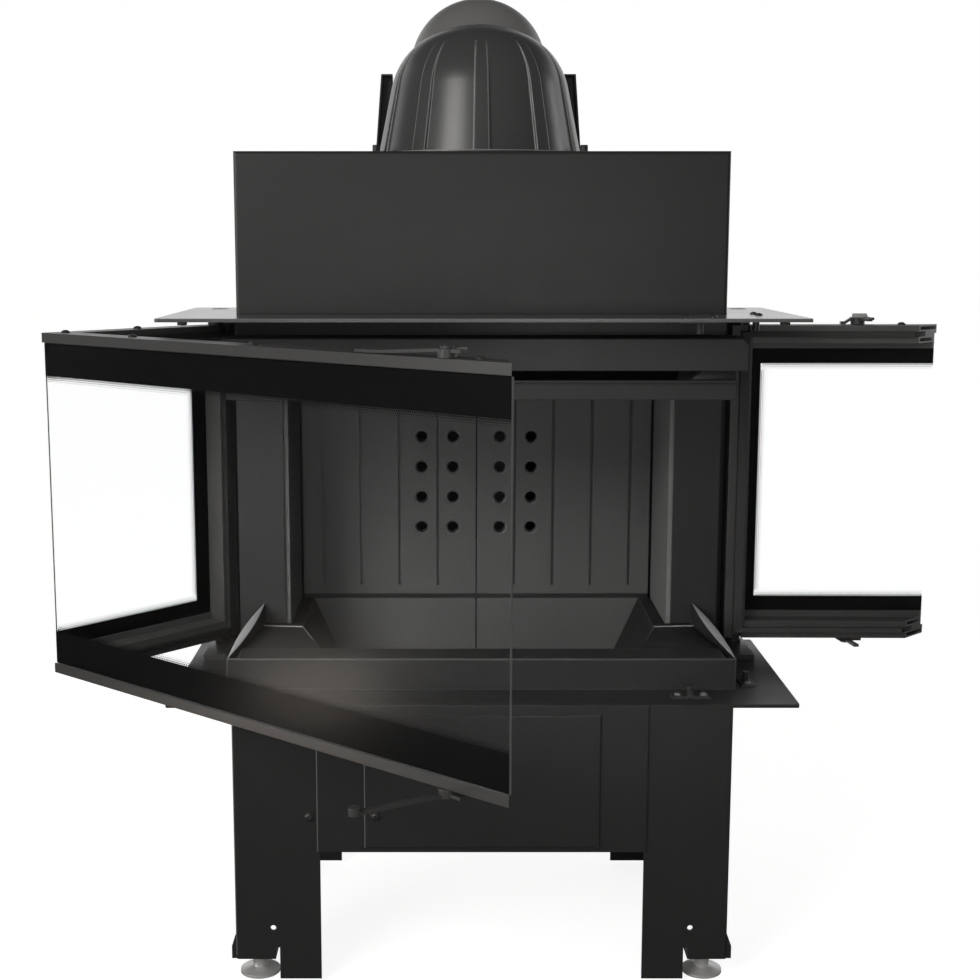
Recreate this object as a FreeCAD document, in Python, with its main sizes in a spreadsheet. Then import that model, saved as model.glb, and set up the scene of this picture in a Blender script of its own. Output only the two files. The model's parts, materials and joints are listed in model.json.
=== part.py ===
import FreeCAD, Part
import math
import os
import Sketcher

# Three-sided fireplace insert: a steel firebox on four legs between two wide plates,
# an L-shaped glass door on the left, a single glass door on the right,
# and a ribbed dome with a turning flue head on the smoke box.
# Millimetres. X runs to the right, Y to the back, Z up; Z = 0 is the floor,
# Y = 0 the front edge of the two wide plates and X = 0 the middle.

V = FreeCAD.Vector
doc = FreeCAD.newDocument("FireplaceInsert")
sheet = doc.addObject("Spreadsheet::Sheet", "Sizes")
nodes = []


class Size:
    """A size: its number, and the sheet formula that the number comes from."""

    def __init__(self, number, formula):
        self.number = number
        self.formula = formula

    def __add__(self, other):
        other = as_size(other)
        return Size(self.number + other.number, f"({self.formula} + {other.formula})")

    def __sub__(self, other):
        other = as_size(other)
        return Size(self.number - other.number, f"({self.formula} - {other.formula})")

    def __mul__(self, other):
        other = as_size(other)
        return Size(self.number * other.number, f"({self.formula} * {other.formula})")

    def __truediv__(self, other):
        other = as_size(other)
        return Size(self.number / other.number, f"({self.formula} / {other.formula})")

    def __radd__(self, other):
        return as_size(other) + self

    def __rsub__(self, other):
        return as_size(other) - self

    def __rmul__(self, other):
        return as_size(other) * self

    def __neg__(self):
        return Size(-self.number, f"(0 - {self.formula})")


def as_size(thing):
    if isinstance(thing, Size):
        return thing
    if thing < 0:
        return Size(float(thing), f"(0 - {abs(thing)})")
    return Size(float(thing), f"{thing}")


def sine(angle):
    return Size(math.sin(math.radians(angle.number)), f"sin({angle.formula})")


def cosine(angle):
    return Size(math.cos(math.radians(angle.number)), f"cos({angle.formula})")


def size(alias, number, meaning):
    """Write one driving size on the sheet and hand it back."""
    size.row = size.row + 1
    sheet.set(f"A{size.row}", meaning)
    sheet.set(f"B{size.row}", str(number))
    sheet.setAlias(f"B{size.row}", alias)
    return Size(float(number), f"Sizes.{alias}")


size.row = 0

# Widths, from the middle
body_half = size("body_half", 355, "half width over the legs and the smoke box")
shell_over = size("shell_over", 25, "legs to the side of the firebox shell")
jamb_over = size("jamb_over", 18, "how far the flanges behind the hinge stiles stand out from the shell")
door_over = size("door_over", 50, "firebox shell to the outside of the closed doors")
plate_over = size("plate_over", 19, "closed doors to the side edge of the two wide plates")
tail_over = size("tail_over", 5, "firebox shell to the plates' edge behind the doors")
shell_half = body_half + shell_over
door_half = shell_half + door_over
plate_half = door_half + plate_over
tail_half = shell_half + tail_over

# Levels, from the floor
base_height = size("base_height", 415, "floor to the top of the bottom plate")
plate_thick = size("plate_thick", 5, "thickness of the plates")
gap_below = size("gap_below", 18, "bottom plate to the doors")
door_height = size("door_height", 500, "height of both doors")
gap_above = size("gap_above", 20, "doors to the top plate")
hood_tall = size("hood_tall", 231, "height of the smoke box")
under = base_height - plate_thick
door_low = base_height + gap_below
door_high = door_low + door_height
ceiling = door_high + gap_above
deck = ceiling + plate_thick
roof = deck + hood_tall

# Depths, from the front edge of the plates
door_front = size("door_front", 18, "plates' front edge to the closed front glass")
hinge_reach = size("hinge_reach", 311, "front glass to the hinge axis")
plate_past = size("plate_past", 37, "hinge axis to the rear edge of the plates' wide part")
tail_depth = size("tail_depth", 560, "depth of the plates to their rear edge")
plate_corner = size("plate_corner", 4, "corner radius of the plates")
frame_gap = size("frame_gap", 54, "closed glass to the face of the firebox")
hinge_y = door_front + hinge_reach
plate_depth = hinge_y + plate_past
frame_front = door_front + frame_gap
frame_half = door_half - frame_gap

# Doors
hinge_inset = size("hinge_inset", 17, "side glass to the hinge axis")
left_open_angle = size("left_open_angle", 40.9, "how far the left door stands open, degrees")
right_open_angle = size("right_open_angle", 89.3, "how far the right door stands open, degrees")
rail_depth = size("rail_depth", 38, "depth of the door rails")
rail_tall = size("rail_tall", 28, "height of the door rails")
rail_lip = size("rail_lip", 10, "height of each hollow arm of a rail")
rail_wall = size("rail_wall", 2.5, "wall of the rails")
rail_web = size("rail_web", 24, "outer face to the floor of the seal channel")
strip_tall = size("strip_tall", 14, "height of the strip above and below the glass")
cover_tall = size("cover_tall", 38, "height of the flange behind the glass")
flange_thick = size("flange_thick", 3, "thickness of the flange behind the glass")
glass_thick = size("glass_thick", 4, "thickness of the glass")
glass_play = size("glass_play", 0.5, "play round the glass")
mitre_play = size("mitre_play", 1.2, "play at the mitre between the doors")
stile_front = size("stile_front", 14, "hinge axis to the front of the hinge stile")
stile_rear = size("stile_rear", 18, "hinge axis to the rear of the hinge stile")
stile_strip = size("stile_strip", 5, "width of the strip behind the side glass")
seal_reach = size("seal_reach", 46, "outer face to the inner side of the rope seals")
seal_play = size("seal_play", 0.25, "play of the rope seals in their channels")
hinge_x = door_half - hinge_inset

# Hinges
pin_radius = size("pin_radius", 6, "radius of the hinge pins")
pin_fit = size("pin_fit", 0.05, "running clearance on pins and studs")
pin_reach = size("pin_reach", 25, "length of a hinge pin inside the door")
pin_collar = size("pin_collar", 11, "radius of the collar that carries the door")
collar_play = size("collar_play", 0.3, "clearance between the collar and the door")
hinge_half = size("hinge_half", 18, "half width of the hinge brackets")
hinge_length = size("hinge_length", 89, "hinge axis to the front of the hinge bracket")
hinge_thick = size("hinge_thick", 8, "thickness of the hinge brackets")

# Latches
stud_radius = size("stud_radius", 4.5, "radius of the studs that carry the levers")
stud_head = size("stud_head", 8, "radius of the studs' heads")
stud_head_tall = size("stud_head_tall", 2, "height of the studs' heads")
lever_thick = size("lever_thick", 4, "thickness of the latch levers")
lever_gap = size("lever_gap", 0.6, "clearance above and below a lever")
lever_lift = size("lever_lift", 6.6, "door's edge to the raised part of a lever")
lever_inset = size("lever_inset", 8, "outer face to the lever's stud")
bar_half = size("bar_half", 5, "half width of a lever's bar")
left_arm = size("left_arm", 140, "left top lever's stud to the end of its bar, which lies along the rail")
handle_long = size("handle_long", 123, "left bottom lever's stud to the knob of its handle")
handle_angle = size("handle_angle", 72.5, "left bottom lever's handle against the rail, degrees")
knob_radius = size("knob_radius", 7, "radius of the handle's knob")
right_arm = size("right_arm", 27, "right levers' stud to the end of the handle, which lies along the rail")
left_tail = size("left_tail", 24, "left levers' stud to the other end of the bar")
right_tail = size("right_tail", 25, "right levers' stud to the other end of the bar")
boss_radius = size("boss_radius", 11, "radius of the lever round its stud")
left_finger = size("left_finger", 38, "left levers' stud to the tip of the hook")
right_finger = size("right_finger", 46, "right levers' stud to the tip of the hook")
finger_half = size("finger_half", 4, "half width of the hook")
finger_angle = size("finger_angle", 80, "hook against the rail when unlatched, degrees")
left_stud = size("left_stud", 100, "left door's free edge to its lever stud")
right_stud = size("right_stud", 128, "right door's free edge to its lever stud")
keeper_step = size("keeper_step", 30, "stud to the keeper post along the door")
keeper_inset = size("keeper_inset", 20, "left door's outer face to its keeper post")
side_keeper_inset = size("side_keeper_inset", 37, "right door's outer face to its keeper post")
keeper_radius = size("keeper_radius", 5, "radius of the keeper posts")
keeper_gap = size("keeper_gap", 2, "clearance between a keeper post and the door")
keeper_half = size("keeper_half", 28, "half length of the keeper's foot")
keeper_wide = size("keeper_wide", 10, "half width of the keeper's foot")
keeper_foot = size("keeper_foot", 3, "thickness of the keeper's foot")

# Legs and feet
sheet_thick = size("sheet_thick", 3, "thickness of the bent sheet")
leg_wide = size("leg_wide", 123, "width of a leg's face")
leg_clear = size("leg_clear", 4, "floor to the lowest edge of a leg")
leg_set = size("leg_set", 125, "plates' rear edge to the rear legs")
leg_flange = size("leg_flange", 60, "depth of a leg's side flange")
leg_shelf = size("leg_shelf", 40, "depth of a leg's top flange")
leg_bend = size("leg_bend", 4, "outside radius of the legs' bend")
tab_low = size("tab_low", 34, "floor to the underside of a foot tab")
tab_thick = size("tab_thick", 6, "thickness of a foot tab")
tab_depth = size("tab_depth", 66, "depth of a foot tab")
notch_set = size("notch_set", 63, "leg's outer edge to the far side of its notch")
notch_wide = size("notch_wide", 6, "width of a leg's notch")
notch_tall = size("notch_tall", 18, "height of a leg's notch above the tab")
gusset_wide = size("gusset_wide", 7, "width of the gusset beside a foot tab")
gusset_tall = size("gusset_tall", 38, "height of the gusset beside a foot tab")
gusset_deep = size("gusset_deep", 30, "depth of the gusset beside a foot tab")
peep_set = size("peep_set", 54, "leg's outer edge to its fixing hole")
peep_up = size("peep_up", 82, "floor to the fixing hole of a leg")
peep_radius = size("peep_radius", 4, "radius of a leg's fixing hole")
foot_set = size("foot_set", 30, "leg's outer edge to the axis of its levelling foot")
foot_deep = size("foot_deep", 33, "leg's face to the axis of a levelling foot")
foot_radius = size("foot_radius", 29, "radius of a levelling foot's disc")
foot_rim = size("foot_rim", 4, "height of the disc's rim")
foot_cone = size("foot_cone", 9, "height of the disc's cone")
foot_hub = size("foot_hub", 10.5, "radius of a levelling foot's hub")
foot_stem = size("foot_stem", 6, "radius of a levelling foot's stem")
foot_rise = size("foot_rise", 75, "floor to the top of the stem")
foot_play = size("foot_play", 0.3, "clearance between a foot's hub and its tab")
rear_drop = size("rear_drop", 90, "top of the bottom plate to the step of a rear leg")
rear_wide = size("rear_wide", 43, "width of a rear leg above its step")
leg_inner = body_half - leg_wide
leg_pitch = tail_depth - leg_set
notch_inner = body_half - notch_set
peep_across = body_half - peep_set
foot_across = body_half - foot_set
rear_step = base_height - rear_drop
rear_inner = body_half - rear_wide

# Apron and air box
trough_deep = size("trough_deep", 79, "top of the bottom plate to the underside of the hearth trough")
air_tall = size("air_tall", 135, "height of the air box")
apron_lap = size("apron_lap", 4, "lap of the apron over each leg")
apron_return = size("apron_return", 40, "depth of the apron's lower flange")
cover_side = size("cover_side", 68, "side edge of the apron to its cover")
cover_rise = size("cover_rise", 7, "lower edge of the apron to its cover")
cover_drop = size("cover_drop", 13, "upper edge of the apron to its cover")
cover_round = size("cover_round", 2, "rounded edge of the apron cover")
air_side = size("air_side", 36, "side edge of the apron to the air box")
air_front = size("air_front", 10, "front of the air box")
air_back = size("air_back", 330, "back of the air box")
inlet_drop = size("inlet_drop", 68, "hearth trough to the axis of the air inlet")
inlet_radius = size("inlet_radius", 62.5, "outside radius of the air spigot")
inlet_wall = size("inlet_wall", 2, "wall of the air spigot")
inlet_step = size("inlet_step", 2.5, "step from the spigot up to the damper's housing")
inlet_long = size("inlet_long", 140, "air box to the end of the spigot")
housing_long = size("housing_long", 88, "air box to the end of the damper's housing")
inlet_flange = size("inlet_flange", 67, "radius of the air inlet's flange")
damper_back = size("damper_back", 64, "air box to the damper's axis")
damper_play = size("damper_play", 1, "play round the damper disc")
damper_thick = size("damper_thick", 3, "thickness of the damper disc")
shaft_radius = size("shaft_radius", 4, "radius of the damper's shaft")
shaft_reach = size("shaft_reach", 22, "length of the shaft outside the inlet")
crank_long = size("crank_long", 50, "length of the damper's crank")
crank_thick = size("crank_thick", 6, "thickness of the damper's crank")
trough_low = base_height - trough_deep
air_low = trough_low - air_tall
apron_low = air_low - sheet_thick
apron_half = leg_inner + apron_lap
cover_half = apron_half - cover_side
cover_low = apron_low + cover_rise
cover_high = base_height - cover_drop
air_half = apron_half - air_side
inlet_up = trough_low - inlet_drop

# Firebox
steel = size("steel", 4, "thickness of the firebox steel")
shell_set = size("shell_set", 4, "plates' rear edge to the back of the firebox shell")
post_set = size("post_set", 27, "face of the post panels to the hinge axis")
post_wide = size("post_wide", 73, "width of a post panel")
brick_gap = size("brick_gap", 50, "side of the firebox shell to the back of a side brick")
brick_thick = size("brick_thick", 30, "thickness of the bricks")
brick_rise = size("brick_rise", 40, "bottom plate to the underside of the side bricks")
brick_drop = size("brick_drop", 103, "top of the bricks to the top plate")
rear_set = size("rear_set", 56, "face of the rear plates to the back of the firebox shell")
rear_gap = size("rear_gap", 4, "side brick to the edge of a rear plate")
rear_joint = size("rear_joint", 1, "half the joint between the rear plates")
ledge_tall = size("ledge_tall", 8, "height of the rear ledge")
groove_edge = size("groove_edge", 34, "last groove to the edge of a rear plate")
groove_wide = size("groove_wide", 5, "width of a groove")
groove_deep = size("groove_deep", 6, "depth of a groove")
groove_rise = size("groove_rise", 16, "lower edge of a rear plate to its grooves")
hole_near = size("hole_near", 40, "middle to the inner row of air holes")
hole_far = size("hole_far", 93, "middle to the outer row of air holes")
hole_rise = size("hole_rise", 163, "bottom plate to the lowest air hole")
hole_step = size("hole_step", 52, "spacing of the air holes")
hole_radius = size("hole_radius", 9.4, "radius of an air hole")
hole_sink = size("hole_sink", 3.4, "countersink of an air hole")
duct_side = size("duct_side", 27, "outer row of air holes to the side of the air duct")
duct_over = size("duct_over", 23, "lowest and highest air hole to the ends of the air duct")
retainer_deep = size("retainer_deep", 58, "depth of the log retainer")
retainer_tall = size("retainer_tall", 47, "height of the log retainer")
retainer_side = size("retainer_side", 5, "side of the lintel to the end of the log retainer")
retainer_step = size("retainer_step", 15, "end of the retainer's face to the end of its top")
retainer_lip = size("retainer_lip", 22, "height of the retainer's rear lip")
wing_lean = size("wing_lean", 28, "how far a side retainer runs inward on its way to the post")
wing_rise = size("wing_rise", 76, "bottom plate to the rear end of a side retainer's edge")
wing_play = size("wing_play", 0.5, "retainer's face to a side retainer")
trough_under = size("trough_under", 2, "front of the hearth trough to the back of the log retainer")
trough_past = size("trough_past", 35, "face of the rear plates to the back of the hearth trough")
trough_over = size("trough_over", 5, "face of a side brick to the side of the hearth trough")
trough_lap = size("trough_lap", 3, "lap of the bottom plate over the trough")
ramp_deep = size("ramp_deep", 37, "front of the hearth trough to the hearth floor")
floor_side = size("floor_side", 73, "side of the hearth trough to the hearth floor")
floor_thick = size("floor_thick", 11, "thickness of the hearth floor")
slope_over = size("slope_over", 21, "face of a side brick to the upper edge of a hearth slope")
lintel_drop = size("lintel_drop", 27, "top of the lintel to the top plate")
lintel_tall = size("lintel_tall", 45, "height of the lintel")
lintel_cut = size("lintel_cut", 8, "corner cut of the lintel")
wash_set = size("wash_set", 38, "face of the lintel to the air-wash deflector")
wash_side = size("wash_side", 8, "side of the lintel to the side of the deflector")
wash_drop = size("wash_drop", 16, "lintel to the top of the deflector")
wash_tall = size("wash_tall", 29, "height of the deflector")
wash_rail = size("wash_rail", 8, "depth of the deflector's rail")
baffle_over = size("baffle_over", 15, "face of a side brick to the side of the baffle")
baffle_set = size("baffle_set", 110, "air-wash deflector to the front edge of the baffle")
baffle_play = size("baffle_play", 9, "baffle to the edge of a post panel")
baffle_thick = size("baffle_thick", 20, "thickness of the baffle")
shell_back = tail_depth - shell_set
post_face = hinge_y - post_set
post_inner = shell_half - post_wide
brick_half = shell_half - brick_gap - brick_thick
brick_low = base_height + brick_rise
brick_high = ceiling - brick_drop
rear_face = shell_back - rear_set
rear_half = brick_half - rear_gap
groove_step = (rear_half - groove_edge) / 4
hole_low = base_height + hole_rise
duct_half = hole_far + duct_side
duct_low = hole_low - duct_over
duct_high = hole_low + 3 * hole_step + duct_over
retainer_back = frame_front + retainer_deep
retainer_high = base_height + retainer_tall
retainer_half = frame_half - retainer_side
retainer_body = retainer_half - retainer_step
wing_far = retainer_half - wing_lean
wing_high = base_height + wing_rise
trough_front = retainer_back - trough_under
trough_back = rear_face + trough_past
trough_half = brick_half + trough_over
trough_floor = trough_low + sheet_thick
floor_front = trough_front + ramp_deep
floor_half = trough_half - floor_side
slope_top = brick_half - slope_over
lintel_high = ceiling - lintel_drop
lintel_low = lintel_high - lintel_tall
wash_front = frame_front + wash_set
wash_half = frame_half - wash_side
wash_high = lintel_low - wash_drop
wash_low = wash_high - wash_tall
baffle_half = brick_half + baffle_over
baffle_front = wash_front + baffle_set
baffle_nose = post_inner - baffle_play

# Smoke box, bell and flue head
hood_set = size("hood_set", 63, "face of the lintel to the front of the smoke box")
hood_bend = size("hood_bend", 5, "outside radius of the smoke box's bends")
smoke_lap = size("smoke_lap", 11, "lap of the top plate inside the smoke box")
bell_set = size("bell_set", 210, "front of the smoke box to the axis of the bell")
bell_foot = size("bell_foot", 154, "radius of the bell's foot")
bell_crown = size("bell_crown", 172, "radius of the bell's crown")
bell_shoulder = size("bell_shoulder", 105, "radius of the bell's shoulder")
shoulder_set = size("shoulder_set", 30, "bell's axis to the centre of its shoulder")
bell_tall = size("bell_tall", 200.5, "smoke box to the top of the bell")
bell_rise = size("bell_rise", 51, "smoke box to the point where the seat's axis leaves the bell's axis")
bell_wall = size("bell_wall", 8, "wall of the bell")
flange_over = size("flange_over", 31, "bell's foot to the edge of its flange")
bell_flange_thick = size("bell_flange_thick", 4, "thickness of the bell's flange")
rib_count = size("rib_count", 10, "number of ribs on the bell")
rib_angle = size("rib_angle", 8.4, "width of a rib round the axis, degrees")
rib_proud = size("rib_proud", 5.5, "height of a rib at its foot")
rib_sink = size("rib_sink", 7, "how far a rib's own crown lies below the bell's")
seat_tilt = size("seat_tilt", 45, "tilt of the flue head's axis, degrees")
seat_reach = size("seat_reach", 98, "length of the seat's axis up to the flue head's seat")
seat_play = size("seat_play", 0.3, "clearance of the flue head on its seat")
head_reach = size("head_reach", 133, "length of the seat's axis up to the flue head's centre")
head_ball = size("head_ball", 108, "radius of the flue head")
head_wall = size("head_wall", 5, "wall of the flue head")
collar_radius = size("collar_radius", 98, "radius of the flue head's collar")
collar_reach = size("collar_reach", 18, "length of the collar inside the bell")
spigot_radius = size("spigot_radius", 100, "outside radius of the flue spigot")
spigot_reach = size("spigot_reach", 165, "flue head's centre to the spigot's end")
spigot_length = size("spigot_length", 96, "length of the spigot that takes the flue pipe")
spigot_step = size("spigot_step", 2, "how far the neck before the spigot is drawn in")
bracket_set = size("bracket_set", 100, "axis of the bell to the face of the rear brackets")
bracket_inner = size("bracket_inner", 137, "middle to the inner edge of a rear bracket")
bracket_foot = size("bracket_foot", 165, "middle to the outer edge at a bracket's foot")
bracket_top = size("bracket_top", 155, "middle to the outer edge at a bracket's top")
bracket_tall = size("bracket_tall", 132, "height of the rear brackets")
bracket_flange = size("bracket_flange", 20, "depth of the brackets' flanges")
slot_side = size("slot_side", 33, "side edge of the top plate to the slot over a hinge")
slot_wide = size("slot_wide", 26, "width of the slot over a hinge")
slot_long = size("slot_long", 30, "length of the slot over a hinge")
slot_round = size("slot_round", 12, "corner radius of the slot over a hinge")
hood_front = frame_front + hood_set
bell_back = hood_front + bell_set
bell_flange = bell_foot + flange_over
bracket_face = bell_back + bracket_set
bracket_high = roof + bell_flange_thick + bracket_tall
seat_root = roof + bell_rise

PLANES = {"X": "YZ_Plane", "Y": "XZ_Plane", "Z": "XY_Plane"}
SIDES = {"left": -1, "right": 1}


def bind(thing, name, value):
    thing.setExpression(name, as_size(value).formula)


def new_body(label, node=True):
    body = doc.addObject("PartDesign::Body", label)
    body.Label = label
    if node:
        nodes.append(body)
    return body


def origin_item(body, role):
    return [item for item in body.Origin.OriginFeatures if item.Role == role][0]


def pin_point(sketch, item, end, x, y):
    """Hold a point of the sketch at two sheet formulas."""
    for kind, value in (("DistanceX", x), ("DistanceY", y)):
        spot = sketch.addConstraint(Sketcher.Constraint(kind, -1, 1, item, end, value.number))
        sketch.setExpression(f"Constraints[{spot}]", value.formula)


def draw_loop(sketch, corners):
    corners = [(as_size(x), as_size(y)) for x, y in corners]
    first = sketch.GeometryCount
    count = len(corners)
    spots = [V(x.number, y.number, 0) for x, y in corners]
    sketch.addGeometry([Part.LineSegment(spots[i], spots[(i + 1) % count]) for i in range(count)], False)
    joins = []
    for i in range(count):
        joins.append(Sketcher.Constraint("Coincident", first + i, 2, first + (i + 1) % count, 1))
    sketch.addConstraint(joins)
    for i, (x, y) in enumerate(corners):
        pin_point(sketch, first + i, 1, x, y)


def draw_circle(sketch, x, y, radius):
    x = as_size(x)
    y = as_size(y)
    radius = as_size(radius)
    item = sketch.addGeometry(Part.Circle(V(x.number, y.number, 0), V(0, 0, 1), radius.number), False)
    pin_point(sketch, item, 3, x, y)
    spot = sketch.addConstraint(Sketcher.Constraint("Radius", item, radius.number))
    sketch.setExpression(f"Constraints[{spot}]", radius.formula)


def new_sketch(body, axis, low):
    """A sketch square to one axis of the body, at a place along it."""
    sketch = body.newObject("Sketcher::SketchObject", f"{body.Name}_sketch")
    sketch.AttachmentSupport = (origin_item(body, PLANES[axis]), [""])
    sketch.MapMode = "FlatFace"
    low = as_size(low)
    bind(sketch, "AttachmentOffset.Base.z", -low if axis == "Y" else low)
    return sketch


def add_feature(body, kind, axis, low, high, loops, circles):
    sketch = new_sketch(body, axis, low)
    for loop in loops:
        draw_loop(sketch, loop)
    for x, y, radius in circles:
        draw_circle(sketch, x, y, radius)
    feature = body.newObject(f"PartDesign::{kind}", f"{body.Name}_{kind.lower()}")
    feature.Profile = sketch
    feature.Reversed = (axis == "Y") == (kind == "Pad")
    bind(feature, "Length", as_size(high) - low)
    return feature


def pad(body, axis, low, high, loops=(), circles=()):
    return add_feature(body, "Pad", axis, low, high, loops, circles)


def pocket(body, axis, low, high, loops=(), circles=()):
    return add_feature(body, "Pocket", axis, low, high, loops, circles)


def rect(x0, y0, x1, y1):
    return [(x0, y0), (x1, y0), (x1, y1), (x0, y1)]


def soften(body, kind, name, value, pick):
    """Round or chamfer the edges of the body that the test picks."""
    doc.recompute()
    base = body.Tip
    chosen = [f"Edge{i + 1}" for i, edge in enumerate(base.Shape.Edges) if pick(edge)]
    feature = body.newObject(f"PartDesign::{kind}", f"{body.Name}_{kind.lower()}")
    feature.Base = (base, chosen)
    bind(feature, name, value)
    return feature


def upright(edge, x, y):
    """True for an upright edge at a given place."""
    box = edge.BoundBox
    near = abs(box.Center.x - x) < 0.01 and abs(box.Center.y - y) < 0.01
    return near and box.XLength < 0.01 and box.YLength < 0.01 and box.ZLength > 0.5


def group(label, items):
    whole = doc.addObject("Part::Compound", label)
    whole.Label = label
    whole.Links = items
    nodes.append(whole)
    return whole


def place(thing, x, y, z=0, angle=0, axis=V(0, 0, 1)):
    thing.Placement = FreeCAD.Placement(V(0, 0, 0), FreeCAD.Rotation(axis, 1))
    bind(thing, "Placement.Base.x", x)
    bind(thing, "Placement.Base.y", y)
    bind(thing, "Placement.Base.z", z)
    bind(thing, "Placement.Rotation.Angle", angle)


# Legs: one bent sheet each, with a side flange, a top flange and a tab for the levelling foot.
def make_leg(end, side):
    s = SIDES[side]
    rear = end == "rear"
    body = new_body(f"{end}_{side}_leg")

    def span(low, high):
        if rear:
            return leg_pitch - high, leg_pitch - low
        return as_size(low), as_size(high)

    notch_outer = notch_inner + notch_wide
    notch_top = tab_low + notch_tall
    outline = [(s * body_half, tab_low), (s * notch_outer, tab_low), (s * notch_outer, notch_top)]
    outline += [(s * notch_inner, notch_top), (s * notch_inner, leg_clear), (s * leg_inner, leg_clear)]
    if rear:
        outline += [(s * leg_inner, rear_step), (s * rear_inner, rear_step), (s * rear_inner, under)]
        outline += [(s * body_half, under)]
        shelf_inner = rear_inner
    else:
        outline += [(s * leg_inner, base_height), (s * body_half, base_height)]
        shelf_inner = leg_inner
    pad(body, "Y", *span(-sheet_thick, 0), [outline])
    flange_in = body_half - sheet_thick
    pad(body, "Y", *span(0, leg_flange), [rect(s * flange_in, tab_low, s * body_half, under)])
    edge_y = leg_pitch + sheet_thick if rear else -sheet_thick
    soften(body, "Fillet", "Radius", leg_bend,
           lambda edge: upright(edge, s * body_half.number, edge_y.number))
    pad(body, "Y", *span(0, leg_shelf), [rect(s * shelf_inner, under - sheet_thick, s * flange_in, under)])
    pad(body, "Y", *span(0, tab_depth), [rect(s * notch_outer, tab_low, s * flange_in, tab_low + tab_thick)])
    gusset = [(s * flange_in, tab_low), (s * (body_half + gusset_wide), tab_low)]
    gusset += [(s * (body_half + gusset_wide), tab_low + gusset_tall / 2)]
    gusset += [(s * body_half, tab_low + gusset_tall), (s * flange_in, tab_low + gusset_tall)]
    pad(body, "Y", *span(0, gusset_deep), [gusset])
    pocket(body, "Y", *span(-sheet_thick, 0), circles=[(s * peep_across, peep_up, peep_radius)])
    foot_y = leg_pitch - foot_deep if rear else foot_deep
    pocket(body, "Z", tab_low, tab_low + tab_thick, circles=[(s * foot_across, foot_y, foot_stem + pin_fit)])


def make_foot(end, side):
    body = new_body(f"{end}_{side}_foot")
    sketch = new_sketch(body, "Y", 0)
    profile = [(0, 0), (foot_radius, 0), (foot_radius, foot_rim), (foot_hub, foot_cone)]
    hub_top = tab_low - foot_play
    profile += [(foot_hub, hub_top), (foot_stem, hub_top), (foot_stem, foot_rise), (0, foot_rise)]
    draw_loop(sketch, profile)
    turn = body.newObject("PartDesign::Revolution", f"{body.Name}_turn")
    turn.Profile = sketch
    turn.ReferenceAxis = (sketch, ["V_Axis"])
    turn.Angle = 360
    place(body, SIDES[side] * foot_across, leg_pitch - foot_deep if end == "rear" else foot_deep)


for end in ("front", "rear"):
    for side in SIDES:
        make_leg(end, side)
        make_foot(end, side)

# Apron with its lower flange, and the cover on it.
apron = new_body("apron")
apron_back = -sheet_thick
apron_face = apron_back - sheet_thick
pad(apron, "Y", apron_face, apron_back, [rect(-apron_half, apron_low, apron_half, base_height)])
lip_half = leg_inner - glass_play
pad(apron, "Y", apron_back, apron_return, [rect(-lip_half, apron_low, lip_half, apron_low + sheet_thick)])
soften(apron, "Fillet", "Radius", cover_round,
       lambda edge: upright(edge, -apron_half.number, apron_face.number)
       or upright(edge, apron_half.number, apron_face.number))

cover = new_body("apron_cover")
pad(cover, "Y", apron_face - sheet_thick, apron_face, [rect(-cover_half, cover_low, cover_half, cover_high)])
soften(cover, "Fillet", "Radius", cover_round,
       lambda edge: abs(edge.BoundBox.YMax - (apron_face - sheet_thick).number) < 0.01)

# Air box below the hearth trough, with the inlet and its damper behind.
air_box = new_body("air_box")
pad(air_box, "Z", air_low, trough_low, [rect(-air_half, air_front, air_half, air_back)])
pocket(air_box, "Z", air_low + sheet_thick, trough_low,
       [rect(-air_half + sheet_thick, air_front + sheet_thick, air_half - sheet_thick,
             air_back - sheet_thick)])
inlet_bore = inlet_radius - inlet_wall
pocket(air_box, "Y", air_back - sheet_thick, air_back, circles=[(0, inlet_up, inlet_bore)])

inlet = new_body("air_inlet")
pad(inlet, "Y", air_back, air_back + sheet_thick,
    circles=[(0, inlet_up, inlet_flange), (0, inlet_up, inlet_bore)])
housing = inlet_radius + inlet_step
pad(inlet, "Y", air_back + sheet_thick, air_back + housing_long,
    circles=[(0, inlet_up, housing), (0, inlet_up, inlet_bore)])
pad(inlet, "Y", air_back + housing_long, air_back + inlet_long,
    circles=[(0, inlet_up, inlet_radius), (0, inlet_up, inlet_bore)])
shaft_y = air_back + damper_back
pocket(inlet, "X", -housing, housing, circles=[(shaft_y, inlet_up, shaft_radius + pin_fit)])

damper = new_body("air_damper")
pad(damper, "Z", -damper_thick / 2, damper_thick / 2, circles=[(0, 0, inlet_bore - damper_play)])
pad(damper, "X", -housing - damper_play, housing + shaft_reach, circles=[(0, 0, shaft_radius)])
crank_in = housing + shaft_reach - crank_thick
pad(damper, "X", crank_in, housing + shaft_reach,
    [rect(-2 * shaft_radius, -crank_long, 2 * shaft_radius, 2 * shaft_radius)])
place(damper, 0, shaft_y, inlet_up)


# The two wide plates have one outline; each has its own opening.
def make_plate(label, low, opening):
    body = new_body(label)
    outline = [(-plate_half, 0), (plate_half, 0), (plate_half, plate_depth), (tail_half, plate_depth)]
    outline += [(tail_half, tail_depth), (-tail_half, tail_depth), (-tail_half, plate_depth),
                (-plate_half, plate_depth)]
    pad(body, "Z", low, low + plate_thick, [outline])
    ends = [(s * plate_half.number, y) for s in (-1, 1) for y in (0, plate_depth.number)]
    soften(body, "Fillet", "Radius", plate_corner,
           lambda edge: any(upright(edge, x, y) for x, y in ends))
    pocket(body, "Z", low, low + plate_thick, [opening])
    return body


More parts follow.
